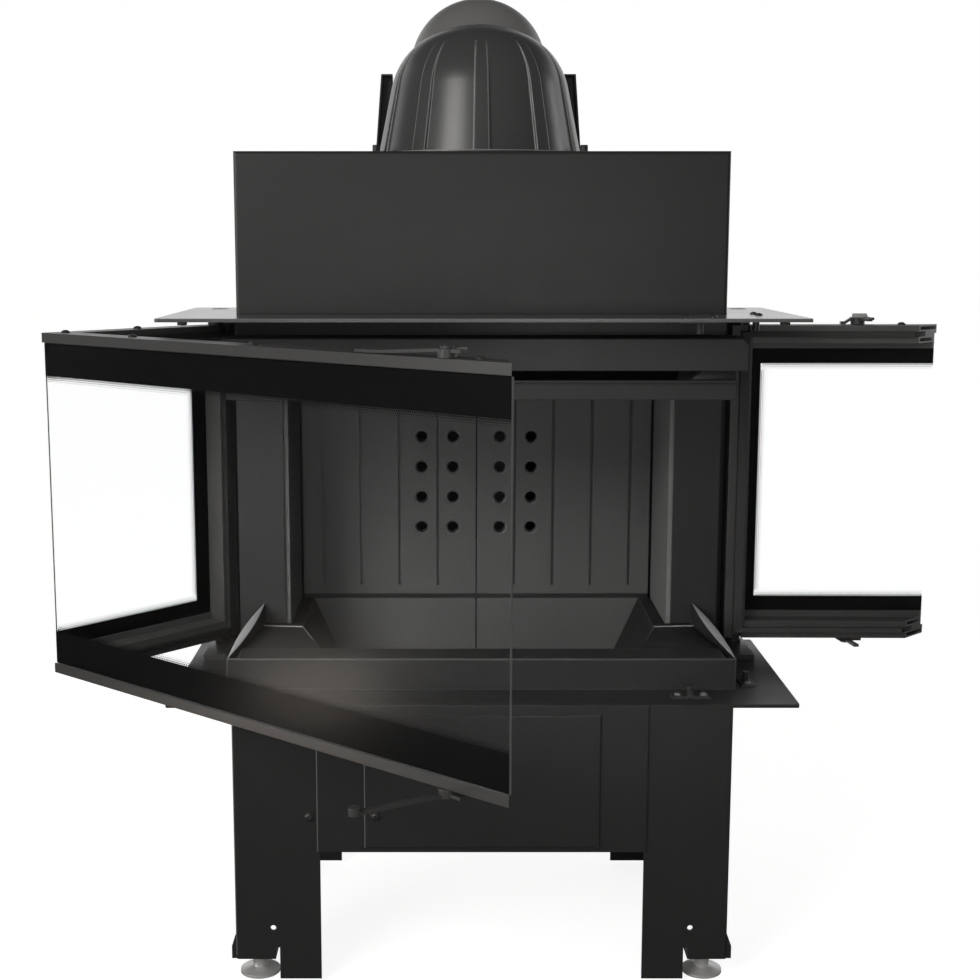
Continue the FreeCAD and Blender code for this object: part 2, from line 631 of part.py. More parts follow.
lap_half = trough_half - trough_lap
make_plate("bottom_plate", under, rect(-lap_half, trough_front + trough_lap, lap_half,
                                       trough_back - trough_lap))
smoke_half = body_half - steel - smoke_lap
top_plate = make_plate("top_plate", ceiling,
                       rect(-smoke_half, hood_front + steel + smoke_lap, smoke_half,
                            shell_back - steel - smoke_lap))
for s in SIDES.values():
    near = plate_half - slot_side - slot_wide
    far = plate_half - slot_side
    ends = [(s * x.number, y.number) for x in (near, far) for y in (hinge_y - slot_long, hinge_y)]
    pocket(top_plate, "Z", ceiling, deck, [rect(s * near, hinge_y - slot_long, s * far, hinge_y)])
    soften(top_plate, "Fillet", "Radius", slot_round, lambda edge: any(upright(edge, x, y) for x, y in ends))

# Hearth: a trough below the bottom plate, lined with sloping bricks.
trough = new_body("hearth_trough")
pad(trough, "Z", trough_low, under,
    [rect(-trough_half - sheet_thick, trough_front - sheet_thick, trough_half + sheet_thick,
          trough_back + sheet_thick)])
pocket(trough, "Z", trough_floor, under, [rect(-trough_half, trough_front, trough_half, trough_back)])

hearth = new_body("hearth_floor")
hearth_top = trough_floor + floor_thick
slope_back = rear_face - sheet_thick
pad(hearth, "Z", trough_floor, hearth_top, [rect(-floor_half, floor_front, floor_half, slope_back)])

slope_out = lap_half - glass_play
slopes = []
for side, s in SIDES.items():
    slope = new_body(f"{side}_slope", node=False)
    outline = [(s * floor_half, trough_floor), (s * slope_out, trough_floor), (s * slope_out, base_height)]
    outline += [(s * (brick_half + brick_thick), base_height), (s * (brick_half + brick_thick), brick_low)]
    outline += [(s * slope_top, brick_low), (s * floor_half, hearth_top)]
    pad(slope, "Y", retainer_back + steel, slope_back, [outline])
    slopes.append(slope)
group("hearth_slopes", slopes)

ramp = new_body("front_slope")
ramp_front = retainer_back + steel
pad(ramp, "X", -floor_half, floor_half,
    [[(ramp_front, trough_floor), (floor_front, trough_floor), (floor_front, hearth_top),
      (ramp_front, retainer_high - retainer_lip)]])

# Log retainer across the front, and the side retainers that rise to the posts.
retainer = new_body("log_retainer")
pad(retainer, "Y", frame_front, frame_front + steel,
    [rect(-retainer_half, base_height, retainer_half, retainer_high)])
pad(retainer, "X", -retainer_body, retainer_body,
    [[(frame_front + steel, retainer_high - steel), (retainer_back - steel, retainer_high - steel),
      (retainer_back - steel, retainer_high - retainer_lip), (retainer_back, retainer_high - retainer_lip),
      (retainer_back, retainer_high), (frame_front + steel, retainer_high)]])

wing_start = frame_front + steel + wing_play
wing_run = post_face - wing_start
wing_in = retainer_half - wing_far
wing_long = math.hypot(wing_run.number, wing_in.number)
wing_length = Size(wing_long, f"sqrt({wing_run.formula} ^ 2 + {wing_in.formula} ^ 2)")
wing_turn = Size(math.degrees(math.atan2(wing_in.number, wing_run.number)),
                 f"atan({wing_in.formula} / {wing_run.formula})")
wings = []
for side, s in SIDES.items():
    wing = new_body(f"{side}_wing", node=False)
    low, high = (-sheet_thick, as_size(0)) if s > 0 else (as_size(0), sheet_thick)
    pad(wing, "X", low, high,
        [[(0, base_height), (wing_length, base_height), (wing_length, wing_high), (0, retainer_high)]])
    place(wing, s * retainer_half, wing_start, 0, s * wing_turn)
    wings.append(wing)
group("side_retainers", wings)

# Firebox shell round the back, and the post panels at its front edges.
shell = new_body("firebox_shell")
shell_front = post_face + steel
pad(shell, "Z", base_height, ceiling,
    [[(-shell_half, shell_front), (-shell_half, shell_back), (shell_half, shell_back),
      (shell_half, shell_front),
      (shell_half - steel, shell_front), (shell_half - steel, shell_back - steel),
      (-shell_half + steel, shell_back - steel), (-shell_half + steel, shell_front)]])
for s in SIDES.values():
    pad(shell, "Z", base_height, ceiling,
        [rect(s * shell_half, plate_depth - sheet_thick, s * (shell_half + jamb_over), plate_depth)])

brick_out = brick_half + brick_thick
for side, s in SIDES.items():
    post = new_body(f"{side}_post")
    outline = [(s * post_inner, brick_low), (s * (brick_out + glass_play), brick_low)]
    outline += [(s * (brick_out + glass_play), base_height), (s * shell_half, base_height)]
    outline += [(s * shell_half, ceiling), (s * post_inner, ceiling)]
    pad(post, "Y", post_face, shell_front, [outline])

    brick = new_body(f"{side}_brick")
    low, high = (brick_half, brick_out) if s > 0 else (-brick_out, -brick_half)
    pad(brick, "Z", brick_low, brick_high, [rect(low, shell_front, high, rear_face - glass_play)])

    rear = new_body(f"{side}_rear_plate")
    low, high = (rear_joint, rear_half) if s > 0 else (-rear_half, -rear_joint)
    plate_low = brick_low - rear_joint + ledge_tall
    pad(rear, "Y", rear_face, rear_face + brick_thick, [rect(low, plate_low, high, brick_high)])
    grooves = []
    for k in (1, 2, 3, 4):
        middle = s * k * groove_step
        grooves.append(rect(middle - groove_wide / 2, plate_low + groove_rise, middle + groove_wide / 2,
                            brick_high))
    pocket(rear, "Y", rear_face, rear_face + groove_deep, grooves)
    holes = []
    for k in (0, 1, 2, 3):
        for across in (hole_near, hole_far):
            holes.append((s * across, hole_low + k * hole_step, hole_radius))
    pocket(rear, "Y", rear_face, rear_face + brick_thick, circles=holes)
    soften(rear, "Chamfer", "Size", hole_sink,
           lambda edge: abs(edge.BoundBox.YMax - rear_face.number) < 0.01
           and edge.Curve.TypeId == "Part::GeomCircle" and abs(edge.Curve.Radius - hole_radius.number) < 0.01)

lower = []
for side, s in SIDES.items():
    brick = new_body(f"{side}_low_brick", node=False)
    low, high = (rear_joint, rear_half) if s > 0 else (-rear_half, -rear_joint)
    pad(brick, "Z", trough_floor, brick_low - rear_joint,
        [rect(low, slope_back, high, rear_face + brick_thick)])
    lower.append(brick)
group("lower_rear_bricks", lower)

ledge = new_body("rear_ledge")
pad(ledge, "Z", brick_low - rear_joint, brick_low - rear_joint + ledge_tall,
    [rect(-rear_half, rear_face + groove_deep, rear_half, shell_back - steel)])

duct = new_body("air_duct")
duct_front = rear_face + brick_thick
pad(duct, "Y", duct_front, shell_back - steel, [rect(-duct_half, duct_low, duct_half, duct_high)])
pocket(duct, "Y", duct_front, shell_back - steel - sheet_thick,
       [rect(-duct_half + sheet_thick, duct_low + sheet_thick, duct_half - sheet_thick,
             duct_high - sheet_thick)])

# Top frame: the lintel with its corner cuts, its top flange and the two arms back to the posts.
frame = new_body("top_frame")
frame_back = frame_front + steel
pad(frame, "Y", frame_front, frame_back,
    [[(-frame_half, lintel_low), (frame_half, lintel_low), (frame_half, lintel_high - lintel_cut),
      (frame_half - lintel_cut, lintel_high), (-frame_half + lintel_cut, lintel_high),
      (-frame_half, lintel_high - lintel_cut)]])
arm_high = lintel_high - lintel_cut
frame_in = frame_half - steel
pad(frame, "Y", frame_back, post_face, [rect(-frame_half, lintel_low, -frame_in, arm_high)])
pad(frame, "Y", frame_back, post_face, [rect(frame_in, lintel_low, frame_half, arm_high)])
pad(frame, "Z", arm_high - steel, arm_high,
    [[(-frame_in, frame_back), (frame_in, frame_back), (frame_in, post_face), (body_half - steel, post_face),
      (body_half - steel, hood_front + steel), (-body_half + steel, hood_front + steel),
      (-body_half + steel, post_face), (-frame_in, post_face)]])

neck = new_body("neck")
neck_in = body_half - steel
pad(neck, "Z", arm_high, ceiling,
    [[(-body_half, hood_front), (body_half, hood_front), (body_half, post_face), (neck_in, post_face),
      (neck_in, hood_front + steel), (-neck_in, hood_front + steel), (-neck_in, post_face),
      (-body_half, post_face)]])

wash = new_body("air_wash")
wash_in = wash_half - steel
wash_back = wash_front + steel
pad(wash, "Z", wash_low, wash_high,
    [[(-wash_half, wash_front), (wash_half, wash_front), (wash_half, post_face), (wash_in, post_face),
      (wash_in, wash_back), (-wash_in, wash_back), (-wash_in, post_face), (-wash_half, post_face)]])
pad(wash, "Z", wash_high - steel, wash_high, [rect(-wash_half, wash_front - wash_rail, wash_half,
                                                   wash_front)])

baffle = new_body("baffle")
step = shell_front + groove_deep
pad(baffle, "Z", brick_high, brick_high + baffle_thick,
    [[(-baffle_nose, baffle_front), (baffle_nose, baffle_front), (baffle_nose, step), (baffle_half, step),
      (baffle_half, duct_front), (-baffle_half, duct_front), (-baffle_half, step), (-baffle_nose, step)]])

# Smoke box: the wide hood, open below, with a round hole for the bell.
smoke = new_body("smoke_box")
pad(smoke, "Z", deck, roof, [rect(-body_half, hood_front, body_half, shell_back)])
soften(smoke, "Fillet", "Radius", hood_bend,
       lambda edge: upright(edge, -body_half.number, hood_front.number)
       or upright(edge, body_half.number, hood_front.number)
       or (edge.BoundBox.ZMin > roof.number - 0.01 and edge.BoundBox.YMax < hood_front.number + 0.01))
pocket(smoke, "Z", deck, roof - steel,
       [rect(-body_half + steel, hood_front + steel, body_half - steel, shell_back - steel)])
bell_mouth = bell_foot - bell_wall
pocket(smoke, "Z", roof - steel, roof, circles=[(0, bell_back, bell_mouth)])


# Bell: a cone that runs tangent into a round shoulder and a flatter crown.
# Its ribs fade out near the top.
def draw_dome(sketch, foot, low, grow, sink):
    """Half outline of the bell: foot, cone, shoulder arc, crown arc up to the axis."""
    foot = as_size(foot)
    crown = bell_crown + grow
    shoulder = bell_shoulder + grow
    centre = low + bell_tall - bell_crown - sink
    round_x = shoulder_set.number
    round_y = centre.number + math.sqrt((crown.number - shoulder.number) ** 2 - round_x ** 2)
    drop = low.number - round_y
    run = foot.number - round_x
    lean = math.atan2(drop, run) + math.acos(shoulder.number / math.hypot(run, drop))
    turn = math.atan2(round_y - centre.number, round_x)
    meet = V(round_x + shoulder.number * math.cos(lean), round_y + shoulder.number * math.sin(lean), 0)
    start = V(0, low.number, 0)
    corner = V(foot.number, low.number, 0)
    top = V(0, centre.number + crown.number, 0)
    sketch.addGeometry([Part.LineSegment(start, corner), Part.LineSegment(corner, meet)], False)
    circle = Part.Circle(V(round_x, round_y, 0), V(0, 0, 1), shoulder.number)
    sketch.addGeometry(Part.ArcOfCircle(circle, lean, turn), False)
    circle = Part.Circle(V(0, centre.number, 0), V(0, 0, 1), crown.number)
    sketch.addGeometry(Part.ArcOfCircle(circle, turn, math.pi / 2), False)
    sketch.addGeometry(Part.LineSegment(top, start), False)
    sketch.addConstraint([Sketcher.Constraint("Coincident", 0, 2, 1, 1),
                          Sketcher.Constraint("Tangent", 1, 2, 2, 1),
                          Sketcher.Constraint("Tangent", 2, 2, 3, 1),
                          Sketcher.Constraint("Coincident", 3, 2, 4, 1),
                          Sketcher.Constraint("Coincident", 4, 2, 0, 1),
                          Sketcher.Constraint("PointOnObject", 3, 2, -2)])
    pin_point(sketch, 0, 1, as_size(0), low)
    pin_point(sketch, 0, 2, foot, low)
    pin_point(sketch, 3, 3, as_size(0), centre)
    for item, radius in ((2, shoulder), (3, crown)):
        spot = sketch.addConstraint(Sketcher.Constraint("Radius", item, radius.number))
        sketch.setExpression(f"Constraints[{spot}]", radius.formula)
    spot = sketch.addConstraint(Sketcher.Constraint("DistanceX", -1, 1, 2, 3, round_x))
    sketch.setExpression(f"Constraints[{spot}]", shoulder_set.formula)


def turned_dome(body, kind, foot, grow, sink, angle):
    sketch = new_sketch(body, "Y" if angle is None else "X", 0)
    draw_dome(sketch, foot, roof, as_size(grow), as_size(sink))
    turn = body.newObject(f"PartDesign::{kind}", f"{body.Name}_{kind.lower()}")
    turn.Profile = sketch
    turn.ReferenceAxis = (sketch, ["V_Axis"])
    if angle is None:
        turn.Angle = 360
    else:
        bind(turn, "Angle", angle)
        turn.Midplane = True
    return turn


seat_y = seat_reach * sine(seat_tilt)
seat_z = seat_root + seat_reach * cosine(seat_tilt)
bell = new_body("dome_bell")
turned_dome(bell, "Revolution", bell_foot, 0, 0, None)
rib = turned_dome(bell, "Revolution", bell_foot + rib_proud, rib_proud, rib_sink, rib_angle)
ribs = bell.newObject("PartDesign::PolarPattern", "bell_ribs")
ribs.Originals = [rib]
ribs.Axis = (origin_item(bell, "Z_Axis"), [""])
ribs.Angle = 360
bind(ribs, "Occurrences", rib_count)
bell.Tip = ribs
pad(bell, "Z", roof, roof + bell_flange_thick, circles=[(0, 0, bell_flange)])
turned_dome(bell, "Groove", bell_foot - bell_wall, -bell_wall, 0, None)
side_y = cosine(seat_tilt)
side_z = sine(seat_tilt)
wide = 2 * bell_crown
pocket(bell, "X", -wide, wide,
       [[(seat_y - wide * side_y, seat_z + wide * side_z), (seat_y + wide * side_y, seat_z - wide * side_z),
         (seat_y + wide * side_y + wide * side_z, seat_z - wide * side_z + wide * side_y),
         (seat_y - wide * side_y + wide * side_z, seat_z + wide * side_z + wide * side_y)]])
seat = bell.newObject("Sketcher::SketchObject", "bell_seat")
seat.AttachmentSupport = (origin_item(bell, "XY_Plane"), [""])
seat.MapMode = "FlatFace"
seat.AttachmentOffset = FreeCAD.Placement(V(0, 0, 0), FreeCAD.Rotation(V(1, 0, 0), -seat_tilt.number))
bind(seat, "AttachmentOffset.Base.y", seat_y)
bind(seat, "AttachmentOffset.Base.z", seat_z)
draw_circle(seat, 0, 0, collar_radius + seat_play)
seat_cut = bell.newObject("PartDesign::Pocket", "bell_seat_cut")
seat_cut.Profile = seat
bind(seat_cut, "Length", 2 * collar_reach)
place(bell, 0, bell_back)


# Flue head: a ball with a collar in the bell's seat and a spigot at the seat's own tilt.
def ball(name, radius):
    thing = doc.addObject("Part::Sphere", name)
    bind(thing, "Radius", radius)
    return thing


def rod(name, radius, low, high, tilt=0):
    """A cylinder about Z from low to high, leaned over about X."""
    thing = doc.addObject("Part::Cylinder", name)
    bind(thing, "Radius", radius)
    bind(thing, "Height", as_size(high) - low)
    tilt = as_size(tilt)
    low = as_size(low)
    place(thing, 0, low * sine(tilt), low * cosine(tilt), -tilt, V(1, 0, 0))
    return thing


def half_space(name, high):
    """A block that fills everything below a level."""
    thing = doc.addObject("Part::Box", name)
    reach = 2 * spigot_reach
    bind(thing, "Length", reach)
    bind(thing, "Width", reach)
    bind(thing, "Height", reach)
    place(thing, -spigot_reach, -spigot_reach, high - reach)
    return thing


def cut(name, base, tool):
    thing = doc.addObject("Part::Cut", name)
    thing.Base = base
    thing.Tool = tool
    return thing


def fuse(name, items):
    thing = doc.addObject("Part::MultiFuse", name)
    thing.Shapes = items
    return thing


head_seat = seat_reach - head_reach + seat_play
neck_reach = spigot_reach - spigot_length
tube = rod("head_neck", spigot_radius - spigot_step, 0, neck_reach, seat_tilt)
spout = rod("head_spigot", spigot_radius, neck_reach, spigot_reach, seat_tilt)
form = fuse("head_form", [ball("head_outer", head_ball), tube, spout])
outer = cut("head_cap", form, half_space("head_below", head_seat))
sleeve = rod("head_collar", collar_radius, head_seat - collar_reach, head_seat + head_wall)
solid = fuse("head_solid", [outer, sleeve])
pipe = rod("spigot_bore", spigot_radius - head_wall, 0, 2 * spigot_reach, seat_tilt)
inside = fuse("head_inside", [ball("head_inner", head_ball - head_wall), pipe])
room = cut("head_room", inside, half_space("room_below", head_seat + head_wall))
throat = rod("collar_bore", collar_radius - head_wall, head_seat - 2 * collar_reach,
             head_seat + 2 * head_wall)
hollow = fuse("head_hollow", [room, throat])
head = cut("flue_head", solid, hollow)
place(head, 0, bell_back + head_reach * sine(seat_tilt), seat_root + head_reach * cosine(seat_tilt),
      -seat_tilt, V(1, 0, 0))
nodes.append(head)

# Rear brackets: bent sheets that stand on the bell's flange, left and right behind the dome.
bracket_low = roof + bell_flange_thick
for side, s in SIDES.items():
    bracket = new_body(f"{side}_bracket")
    pad(bracket, "Y", bracket_face, bracket_face + sheet_thick,
        [[(s * bracket_inner, bracket_low), (s * bracket_foot, bracket_low), (s * bracket_top, bracket_high),
          (s * bracket_inner, bracket_high)]])
    pad(bracket, "Y", bracket_face - bracket_flange, bracket_face,
        [[(s * (bracket_foot - sheet_thick), bracket_low), (s * bracket_foot, bracket_low),
          (s * bracket_top, bracket_high), (s * bracket_inner, bracket_high),
          (s * bracket_inner, bracket_high - sheet_thick),
          (s * (bracket_top - sheet_thick), bracket_high - sheet_thick)]])

# Hinge brackets with their pins: one on each plate at each rear corner.
for side, s in SIDES.items():
    pair = []
    for low_end in (True, False):
        body = new_body(f"{side}_hinge_{'low' if low_end else 'high'}", node=False)
        up = 1 if low_end else -1
        wall = base_height if low_end else ceiling
        door = door_low if low_end else door_high
        marks = [wall, wall + up * hinge_thick, door - up * collar_play, door + up * pin_reach]
        loops = [rect(s * hinge_x - hinge_half, hinge_y - hinge_length, s * hinge_x + hinge_half,
                      hinge_y + hinge_half)]
        spans = [(marks[i], marks[i + 1]) if low_end else (marks[i + 1], marks[i]) for i in range(3)]
        pad(body, "Z", *spans[0], loops)
        pad(body, "Z", *spans[1], circles=[(s * hinge_x, hinge_y, pin_collar)])
        pad(body, "Z", *spans[2], circles=[(s * hinge_x, hinge_y, pin_radius)])
        pair.append(body)
    group(f"{side}_hinges", pair)

# Keepers: a foot and a post on each plate, for the hooks of the levers.
keeper_spots = {
    "front": (door_half - left_stud - keeper_step, door_front + keeper_inset, keeper_half, keeper_wide),
    "side": (door_half - side_keeper_inset, door_front + right_stud - keeper_step, keeper_wide, keeper_half),
}
for where, (x, y, half_x, half_y) in keeper_spots.items():
    pair = []
    for low_end in (True, False):
        body = new_body(f"{where}_keeper_{'low' if low_end else 'high'}", node=False)
        up = 1 if low_end else -1
        wall = base_height if low_end else ceiling
        door = door_low if low_end else door_high
        marks = [wall, wall + up * keeper_foot, door - up * keeper_gap]
        spans = [(marks[i], marks[i + 1]) if low_end else (marks[i + 1], marks[i]) for i in range(2)]
        pad(body, "Z", *spans[0], [rect(x - half_x, y - half_y, x + half_x, y + half_y)])
        pad(body, "Z", *spans[1], circles=[(x, y, keeper_radius)])
        pair.append(body)
    group(f"{where}_keepers", pair)

# Doors. Each is drawn shut about its own hinge axis and then turned open.
# n is the distance inward from the outer face, t the distance from the rail's outer edge.
rail_outline = [(0, 0), (0, strip_tall), (glass_thick, strip_tall), (glass_thick, cover_tall)]
rail_outline += [(glass_thick + flange_thick, cover_tall), (glass_thick + flange_thick, rail_tall)]
rail_outline += [(rail_depth, rail_tall), (rail_depth, rail_tall - rail_lip),
                 (rail_web, rail_tall - rail_lip)]
rail_outline += [(rail_web, rail_lip), (rail_depth, rail_lip), (rail_depth, 0)]
rail_upper = rect(rail_wall, rail_wall, rail_depth - rail_wall, rail_lip - rail_wall)
rail_lower = rect(glass_thick + flange_thick + rail_wall, rail_tall - rail_lip + rail_wall,
                  rail_depth - rail_wall, rail_tall - rail_wall)
rail_loops = [rail_outline, rail_upper, rail_lower]
front_span = 2 * door_half
door_angle = {"left": -left_open_angle, "right": right_open_angle}


def on_door(thing, side):
    place(thing, SIDES[side] * hinge_x, hinge_y, 0, door_angle[side])


def level(top, t):
    return door_high - t if top else door_low + t


def front_y(n):
    return n - hinge_reach


def side_x(side, n):
    return SIDES[side] * (hinge_inset - n)


def span_z(top, near, far):
    """Two levels in rising order, from distances to the door's outer edge."""
    if top:
        return door_high - far, door_high - near
    return door_low + near, door_low + far


def lever_spot(side):
    """The lever's stud in the door's own place."""
    if side == "left":
        return front_span - hinge_inset - left_stud, front_y(lever_inset)
    return side_x(side, lever_inset), right_stud - hinge_reach


def slanted(along_x, along_y, long, half):
    """A strip from the stud outward, in a direction given by its sine and cosine."""
    ends = ((0, -1), (1, -1), (1, 1), (0, 1))
    return [(reach * long * along_x + across * half * along_y,
             reach * long * along_y - across * half * along_x) for reach, across in ends]


free_edge = front_span - hinge_inset
lever_top = lever_lift + lever_thick
stud_tall = lever_top + lever_gap
for side, s in SIDES.items():
    for top in (True, False):
        rail = new_body(f"{side}_{'top' if top else 'bottom'}_rail")
        side_loops = [[(side_x(side, n), level(top, as_size(t))) for n, t in loop] for loop in rail_loops]
        pad(rail, "Y", -hinge_reach, -stile_front, side_loops)
        reach = rail_depth + mitre_play
        if side == "left":
            front_loops = [[(front_y(as_size(n)), level(top, as_size(t))) for n,
                            t in loop] for loop in rail_loops]
            pad(rail, "X", -hinge_inset, free_edge, front_loops)
            corner = [(free_edge - mitre_play, -hinge_reach), (free_edge + reach, -hinge_reach)]
            corner += [(free_edge + reach, rail_depth - hinge_reach)]
            corner += [(free_edge - mitre_play - rail_depth, rail_depth - hinge_reach)]
            behind = glass_thick - hinge_reach
            beside = glass_thick - hinge_inset
            panes = [(-hinge_inset, -hinge_reach), (free_edge, -hinge_reach), (free_edge, behind)]
            panes += [(beside, behind), (beside, -stile_front), (-hinge_inset, -stile_front)]
            pocket(rail, "Z", *span_z(top, strip_tall, cover_tall), [panes])
        else:
            corner = [(hinge_inset, -hinge_reach), (hinge_inset, mitre_play - hinge_reach)]
            corner += [(hinge_inset - rail_depth, reach - hinge_reach),
                       (hinge_inset - rail_depth, -hinge_reach)]
        pocket(rail, "Z", *span_z(top, as_size(0), cover_tall), [corner])
        stud = lever_spot(side)
        pad(rail, "Z", *span_z(top, -stud_tall, as_size(0)), circles=[(*stud, stud_radius)])
        pad(rail, "Z", *span_z(top, -stud_tall - stud_head_tall, -stud_tall), circles=[(*stud, stud_head)])
        on_door(rail, side)

    stile = new_body(f"{side}_stile")
    outline = [(glass_thick, stile_front), (rail_depth, stile_front), (rail_depth, stile_front - stile_strip)]
    outline += [(rail_web, stile_front - stile_strip), (rail_web, -stile_strip), (rail_depth, -stile_strip)]
    outline += [(rail_depth, -stile_rear), (0, -stile_rear), (0, stile_strip - stile_rear)]
    outline += [(glass_thick, stile_strip - stile_rear)]
    pad(stile, "Z", door_low, door_high, [[(side_x(side, n), -as_size(w)) for n, w in outline]])
    bore = pin_reach + stile_strip
    pocket(stile, "Z", door_low, door_low + bore, circles=[(0, 0, pin_radius + pin_fit)])
    pocket(stile, "Z", door_high - bore, door_high, circles=[(0, 0, pin_radius + pin_fit)])
    on_door(stile, side)

    glass_low = door_low + strip_tall + glass_play
    glass_high = door_high - strip_tall - glass_play
    glass_rear = stile_rear - stile_strip - glass_play
    glass_front = glass_thick + glass_play - hinge_reach
    pane = new_body(f"{side}_side_glass")
    pad(pane, "Z", glass_low, glass_high,
        [rect(side_x(side, 0), glass_front, side_x(side, glass_thick), glass_rear)])
    on_door(pane, side)
    if side == "left":
        pane = new_body("left_front_glass")
        pad(pane, "Z", glass_low, glass_high,
            [rect(-hinge_inset, -hinge_reach, free_edge - mitre_play, glass_thick - hinge_reach)])
        on_door(pane, side)

    seal = new_body(f"{side}_seal")
    seal_in = rail_web + seal_play
    proud = rail_depth + seal_play
    stile_low = stile_strip - seal_play
    stile_high = stile_front - stile_strip - seal_play
    pad(seal, "Z", door_low + rail_lip + seal_play, door_high - rail_lip - seal_play,
        [rect(side_x(side, seal_in), -stile_high, side_x(side, seal_reach), stile_low)])
    for top in (True, False):
        low, high = span_z(top, rail_lip + seal_play, rail_tall - rail_lip - seal_play)
        pad(seal, "Z", low, high,
            [rect(side_x(side, proud), -stile_front - seal_reach, side_x(side, seal_reach), stile_low)])
        front_end = front_y(seal_in) if side == "left" else front_y(seal_reach + mitre_play)
        pad(seal, "Z", low, high,
            [rect(side_x(side, seal_in), front_end, side_x(side, seal_reach), -stile_front - seal_play)])
        if side == "left":
            pad(seal, "Z", low, high,
                [rect(seal_in - hinge_inset, front_y(seal_in), free_edge - seal_reach - mitre_play,
                      front_y(seal_reach))])
    on_door(seal, side)

    # Levers: a cranked bar along the rail and a hook inward. They are drawn about their stud.
    # The left bottom lever has its handle outward instead, with a knob at the end.
    spot_x, spot_y = lever_spot(side)
    turn = door_angle[side]
    arm, tail = (left_arm, left_tail) if side == "left" else (right_arm, right_tail)
    finger_long = left_finger if side == "left" else right_finger
    for top in (True, False):
        lever = new_body(f"{side}_{'top' if top else 'bottom'}_lever")
        low, high = span_z(top, -lever_top, -lever_gap)
        pad(lever, "Z", low, high, circles=[(0, 0, boss_radius)])
        flat = span_z(top, -lever_top, -lever_lift)
        if side == "left" and not top:
            pad(lever, "Z", *flat, [slanted(-cosine(handle_angle), -sine(handle_angle), handle_long,
                                            bar_half)])
            knob = (-handle_long * cosine(handle_angle), -handle_long * sine(handle_angle), knob_radius)
            pad(lever, "Z", low, high, circles=[knob])
            pad(lever, "Z", *flat, [rect(0, -bar_half, tail, bar_half)])
        else:
            under_bar = [(s * arm, lever_gap), (s * arm * 0.75, lever_gap)]
            under_bar += [(s * boss_radius, lever_lift), (-s * tail, lever_lift)]
            over_bar = [(x, up + lever_thick) for x, up in reversed(under_bar)]
            pad(lever, "Y", -bar_half, bar_half, [[(x, level(top, -up)) for x, up in under_bar + over_bar]])
        pad(lever, "Z", *flat, [slanted(-cosine(finger_angle), sine(finger_angle), finger_long, finger_half)])
        low, high = span_z(top, -lever_top, -lever_gap)
        pocket(lever, "Z", low, high, circles=[(0, 0, stud_radius + pin_fit)])
        place(lever, s * hinge_x + spot_x * cosine(turn) - spot_y * sine(turn),
              hinge_y + spot_x * sine(turn) + spot_y * cosine(turn), 0,
              turn if side == "left" else turn + 90)

doc.recompute()

# Every object has to be sound before its file is written.
for thing in doc.Objects:
    if "Invalid" in thing.State or "Error" in thing.State:
        raise RuntimeError(f"{thing.Label} did not build: {thing.State}")
os.makedirs("parts", exist_ok=True)
for node in nodes:
    if node.Shape.isNull() or not node.Shape.isValid() or not node.Shape.Solids:
        raise RuntimeError(f"{node.Label} has no sound solid")
    node.Shape.exportStep(f"parts/{node.Label}.step")
    box = node.Shape.BoundBox
    extent = f"{box.XLength:.1f} x {box.YLength:.1f} x {box.ZLength:.1f} mm"
    print(f"{node.Label}: {len(node.Shape.Solids)} solid(s), {extent}")
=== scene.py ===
# %% [markdown]
# # A three-sided fireplace insert
# The solids of the insert come in as a fixed frame: legs, plates, firebox, doors, dome.
# This lesson dresses them. Flat sheets keep their solid and get a finish; what is too fine for the solids,
# such as the black print on the glass, the screws and the rope, is modelled here on top of them.

# %% Load the frame
import json
import math
import bmesh
import bpy
from mathutils import Matrix, Vector


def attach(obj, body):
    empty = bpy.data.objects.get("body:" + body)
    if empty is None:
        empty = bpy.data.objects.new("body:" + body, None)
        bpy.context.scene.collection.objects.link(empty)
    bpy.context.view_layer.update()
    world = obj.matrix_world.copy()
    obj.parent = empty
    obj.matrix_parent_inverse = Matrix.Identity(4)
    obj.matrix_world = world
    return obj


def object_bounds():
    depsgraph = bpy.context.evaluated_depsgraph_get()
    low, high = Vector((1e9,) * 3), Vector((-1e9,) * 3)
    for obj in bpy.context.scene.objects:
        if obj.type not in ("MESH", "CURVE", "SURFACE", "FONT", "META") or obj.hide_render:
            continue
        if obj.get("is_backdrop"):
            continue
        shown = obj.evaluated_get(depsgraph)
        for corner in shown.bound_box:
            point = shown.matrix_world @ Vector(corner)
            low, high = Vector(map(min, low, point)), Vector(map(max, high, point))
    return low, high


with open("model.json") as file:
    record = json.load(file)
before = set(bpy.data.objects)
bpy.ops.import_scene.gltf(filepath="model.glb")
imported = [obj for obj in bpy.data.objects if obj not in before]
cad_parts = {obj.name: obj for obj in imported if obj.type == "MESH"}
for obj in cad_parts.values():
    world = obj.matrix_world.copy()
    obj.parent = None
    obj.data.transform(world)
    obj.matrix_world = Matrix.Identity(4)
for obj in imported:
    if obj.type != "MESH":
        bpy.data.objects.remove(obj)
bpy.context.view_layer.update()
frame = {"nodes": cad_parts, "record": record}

scene = bpy.context.scene
nodes = frame["nodes"]

# %% [markdown]
# ## The camera
# The picture looks straight at the front from a little above the top plate, with a slight tilt down.
# Lines that run back meet at one point, and from that the lens, the height and the sideways shift were worked out.
# A long lens alone would be close, but the shift keeps the upright edges where the picture has them.

